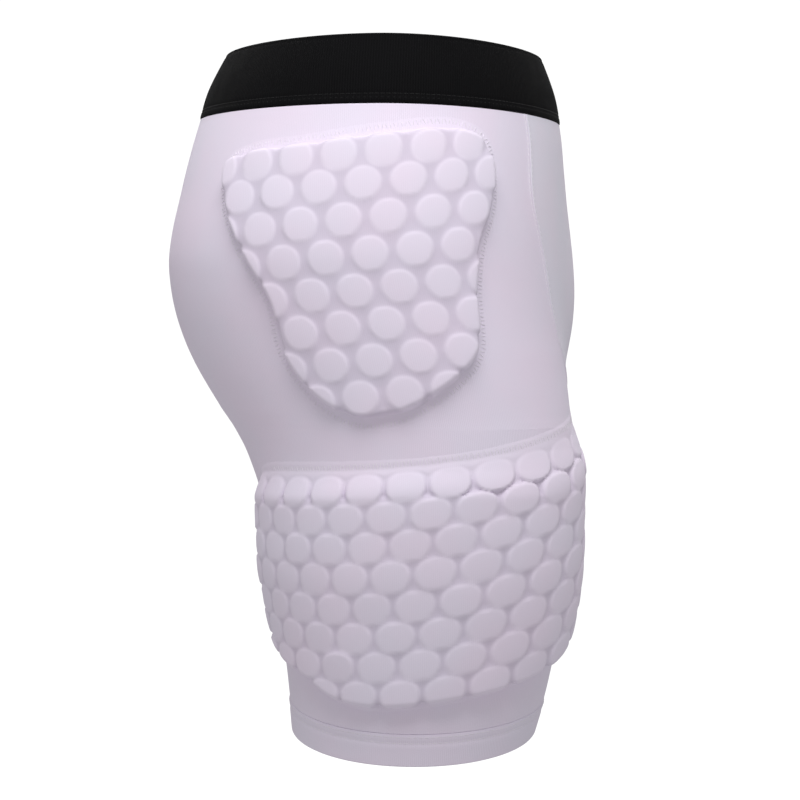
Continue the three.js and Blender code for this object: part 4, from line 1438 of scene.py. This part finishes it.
class SHORTS_OT_stage(Operator):
    """Pale floor and backdrop, soft light and the camera"""

    bl_idname = "shorts.stage"
    bl_label = "Stage"

    CAMERA_PLACE = (-1.8, -0.0095, -0.165)
    CAMERA_TURN = (math.radians(88.29), 0.0, math.radians(-90))
    LENS = 128.0
    SENSOR_WIDTH = 36.0
    LIGHTS = {"key_light": (-0.62, -0.01, 0.74), "far_light": (0.62, -0.01, 0.74)}
    LIGHT_SIZE = 0.7
    LIGHT_AIM = (0, 0, -0.2)
    # The air's light changes from ground to sky between these heights of a unit arrow.
    AIR_LOW, AIR_HIGH = -0.6, 0.8
    WALL_RADIUS, WALL_BEND, WALL_TOP = 4.2, 1.2, 4.0
    FLOOR_RINGS = (0.6, 1.8)
    WALL_SIDES = 48
    BEND_STEPS = 8
    PAINT_ROUGHNESS = 0.9

    def execute(self, context):
        scene = context.scene
        look = scene.shorts_stage
        self.add_camera(scene)
        self.add_backdrop(scene, look)
        for name, place in self.LIGHTS.items():
            self.add_light(scene, name, place, look.key)
        self.add_air(scene, look)
        scene.view_settings.view_transform = "Standard"
        return {"FINISHED"}

    def add_air(self, scene, look):
        """Soft light from all round, with one strength from above and another from below."""
        world = bpy.data.worlds.new("studio_air")
        world.use_nodes = True
        air = Nodes(world.node_tree)
        arrow = air.term("ShaderNodeTexCoord", output="Generated")
        limits = {
            "Value": air.term("ShaderNodeSeparateXYZ", {}, {0: arrow}, "Z"), "From Min": self.AIR_LOW,
            "From Max": self.AIR_HIGH, "To Min": look.ground, "To Max": look.sky,
        }
        strength = air.term("ShaderNodeMapRange", {}, limits)
        background = world.node_tree.nodes["Background"]
        air.join(background.inputs["Color"], (1, 1, 1, 1))
        air.join(background.inputs["Strength"], strength)
        scene.world = world

    def add_camera(self, scene):
        data = bpy.data.cameras.new("camera")
        data.lens = self.LENS
        data.sensor_width = self.SENSOR_WIDTH
        camera = bpy.data.objects.new("camera", data)
        camera.location = self.CAMERA_PLACE
        camera.rotation_euler = self.CAMERA_TURN
        scene.collection.objects.link(camera)
        scene.camera = camera

    def add_backdrop(self, scene, look):
        """A floor that curves up into a wall all round, so that it shows no edge from any side."""
        radius, bend, sides, floor = self.WALL_RADIUS, self.WALL_BEND, self.WALL_SIDES, -look.floor_drop
        turn = np.linspace(0, math.pi / 2, self.BEND_STEPS + 1)
        profile = [(reach, floor) for reach in self.FLOOR_RINGS]
        profile += [(radius - bend + bend * math.sin(a), floor + bend - bend * math.cos(a)) for a in turn]
        profile.append((radius, self.WALL_TOP))
        points, faces = [(0, 0, floor)], []
        for reach, height in profile:
            for k in range(sides):
                angle = 2 * math.pi * k / sides
                points.append((reach * math.cos(angle), reach * math.sin(angle), height))
        faces += [(0, 1 + k, 1 + (k + 1) % sides) for k in range(sides)]
        for row in range(len(profile) - 1):
            for k in range(sides):
                near, far = 1 + row * sides, 1 + (row + 1) * sides
                faces.append((near + k, far + k, far + (k + 1) % sides, near + (k + 1) % sides))
        mesh = bpy.data.meshes.new("backdrop")
        mesh.from_pydata(points, [], faces)
        mesh.shade_smooth()
        paint = bpy.data.materials.new("backdrop_paint")
        paint.use_nodes = True
        shader = paint.node_tree.nodes["Principled BSDF"]
        shader.inputs["Base Color"].default_value = rgba(look.tint)
        shader.inputs["Roughness"].default_value = self.PAINT_ROUGHNESS
        shader.inputs["Emission Color"].default_value = (1, 1, 1, 1)
        shader.inputs["Emission Strength"].default_value = look.glow
        mesh.materials.append(paint)
        backdrop = bpy.data.objects.new("backdrop", mesh)
        backdrop.visible_diffuse = False
        backdrop.visible_glossy = False
        scene.collection.objects.link(backdrop)

    def add_light(self, scene, name, place, power):
        data = bpy.data.lights.new(name, "AREA")
        data.size = self.LIGHT_SIZE
        data.energy = power
        light = bpy.data.objects.new(name, data)
        light.location = place
        aim = Vector(self.LIGHT_AIM) - Vector(place)
        light.rotation_euler = aim.to_track_quat("-Z", "Y").to_euler()
        scene.collection.objects.link(light)


PIECES = (
    SHORTS_OT_cloth, SHORTS_OT_waistband, SHORTS_OT_hems, SHORTS_OT_hip_pads, SHORTS_OT_thigh_pads,
    SHORTS_OT_stitching, SHORTS_OT_stage,
)
GROUPS = {
    "shorts_shape": SHORTS_PG_shape,
    "shorts_cloth": SHORTS_PG_cloth,
    "shorts_waistband": SHORTS_PG_waistband,
    "shorts_hem": SHORTS_PG_hem,
    "shorts_pad": SHORTS_PG_pad,
    "shorts_stitching": SHORTS_PG_stitching,
    "shorts_stage": SHORTS_PG_stage,
}


class SHORTS_PT_panel(Panel):
    """Sizes, colours and pieces of the shorts"""

    bl_idname = "SHORTS_PT_panel"
    bl_label = "Padded Shorts"
    bl_space_type = "VIEW_3D"
    bl_region_type = "UI"
    bl_category = "Shorts"

    def draw(self, context):
        for name, group in GROUPS.items():
            box = self.layout.box()
            box.label(text=name.replace("shorts_", "").capitalize())
            for key in group.__annotations__:
                box.prop(getattr(context.scene, name), key, text=key.replace("_", " ").capitalize())
        for piece in PIECES:
            self.layout.operator(piece.bl_idname)


def register():
    for group in GROUPS.values():
        bpy.utils.register_class(group)
    for cls in PIECES + (SHORTS_PT_panel,):
        bpy.utils.register_class(cls)
    for name, group in GROUPS.items():
        setattr(bpy.types.Scene, name, PointerProperty(type=group))


def unregister():
    for name in GROUPS:
        delattr(bpy.types.Scene, name)
    for cls in reversed(tuple(GROUPS.values()) + PIECES + (SHORTS_PT_panel,)):
        bpy.utils.unregister_class(cls)


def main():
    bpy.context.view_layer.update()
    register()
    bpy.ops.shorts.stage()
    bpy.ops.shorts.cloth()
    bpy.ops.shorts.waistband()
    bpy.ops.shorts.hems()
    bpy.ops.shorts.hip_pads()
    bpy.ops.shorts.thigh_pads()
    bpy.ops.shorts.stitching()


if __name__ == "__main__":
    main()
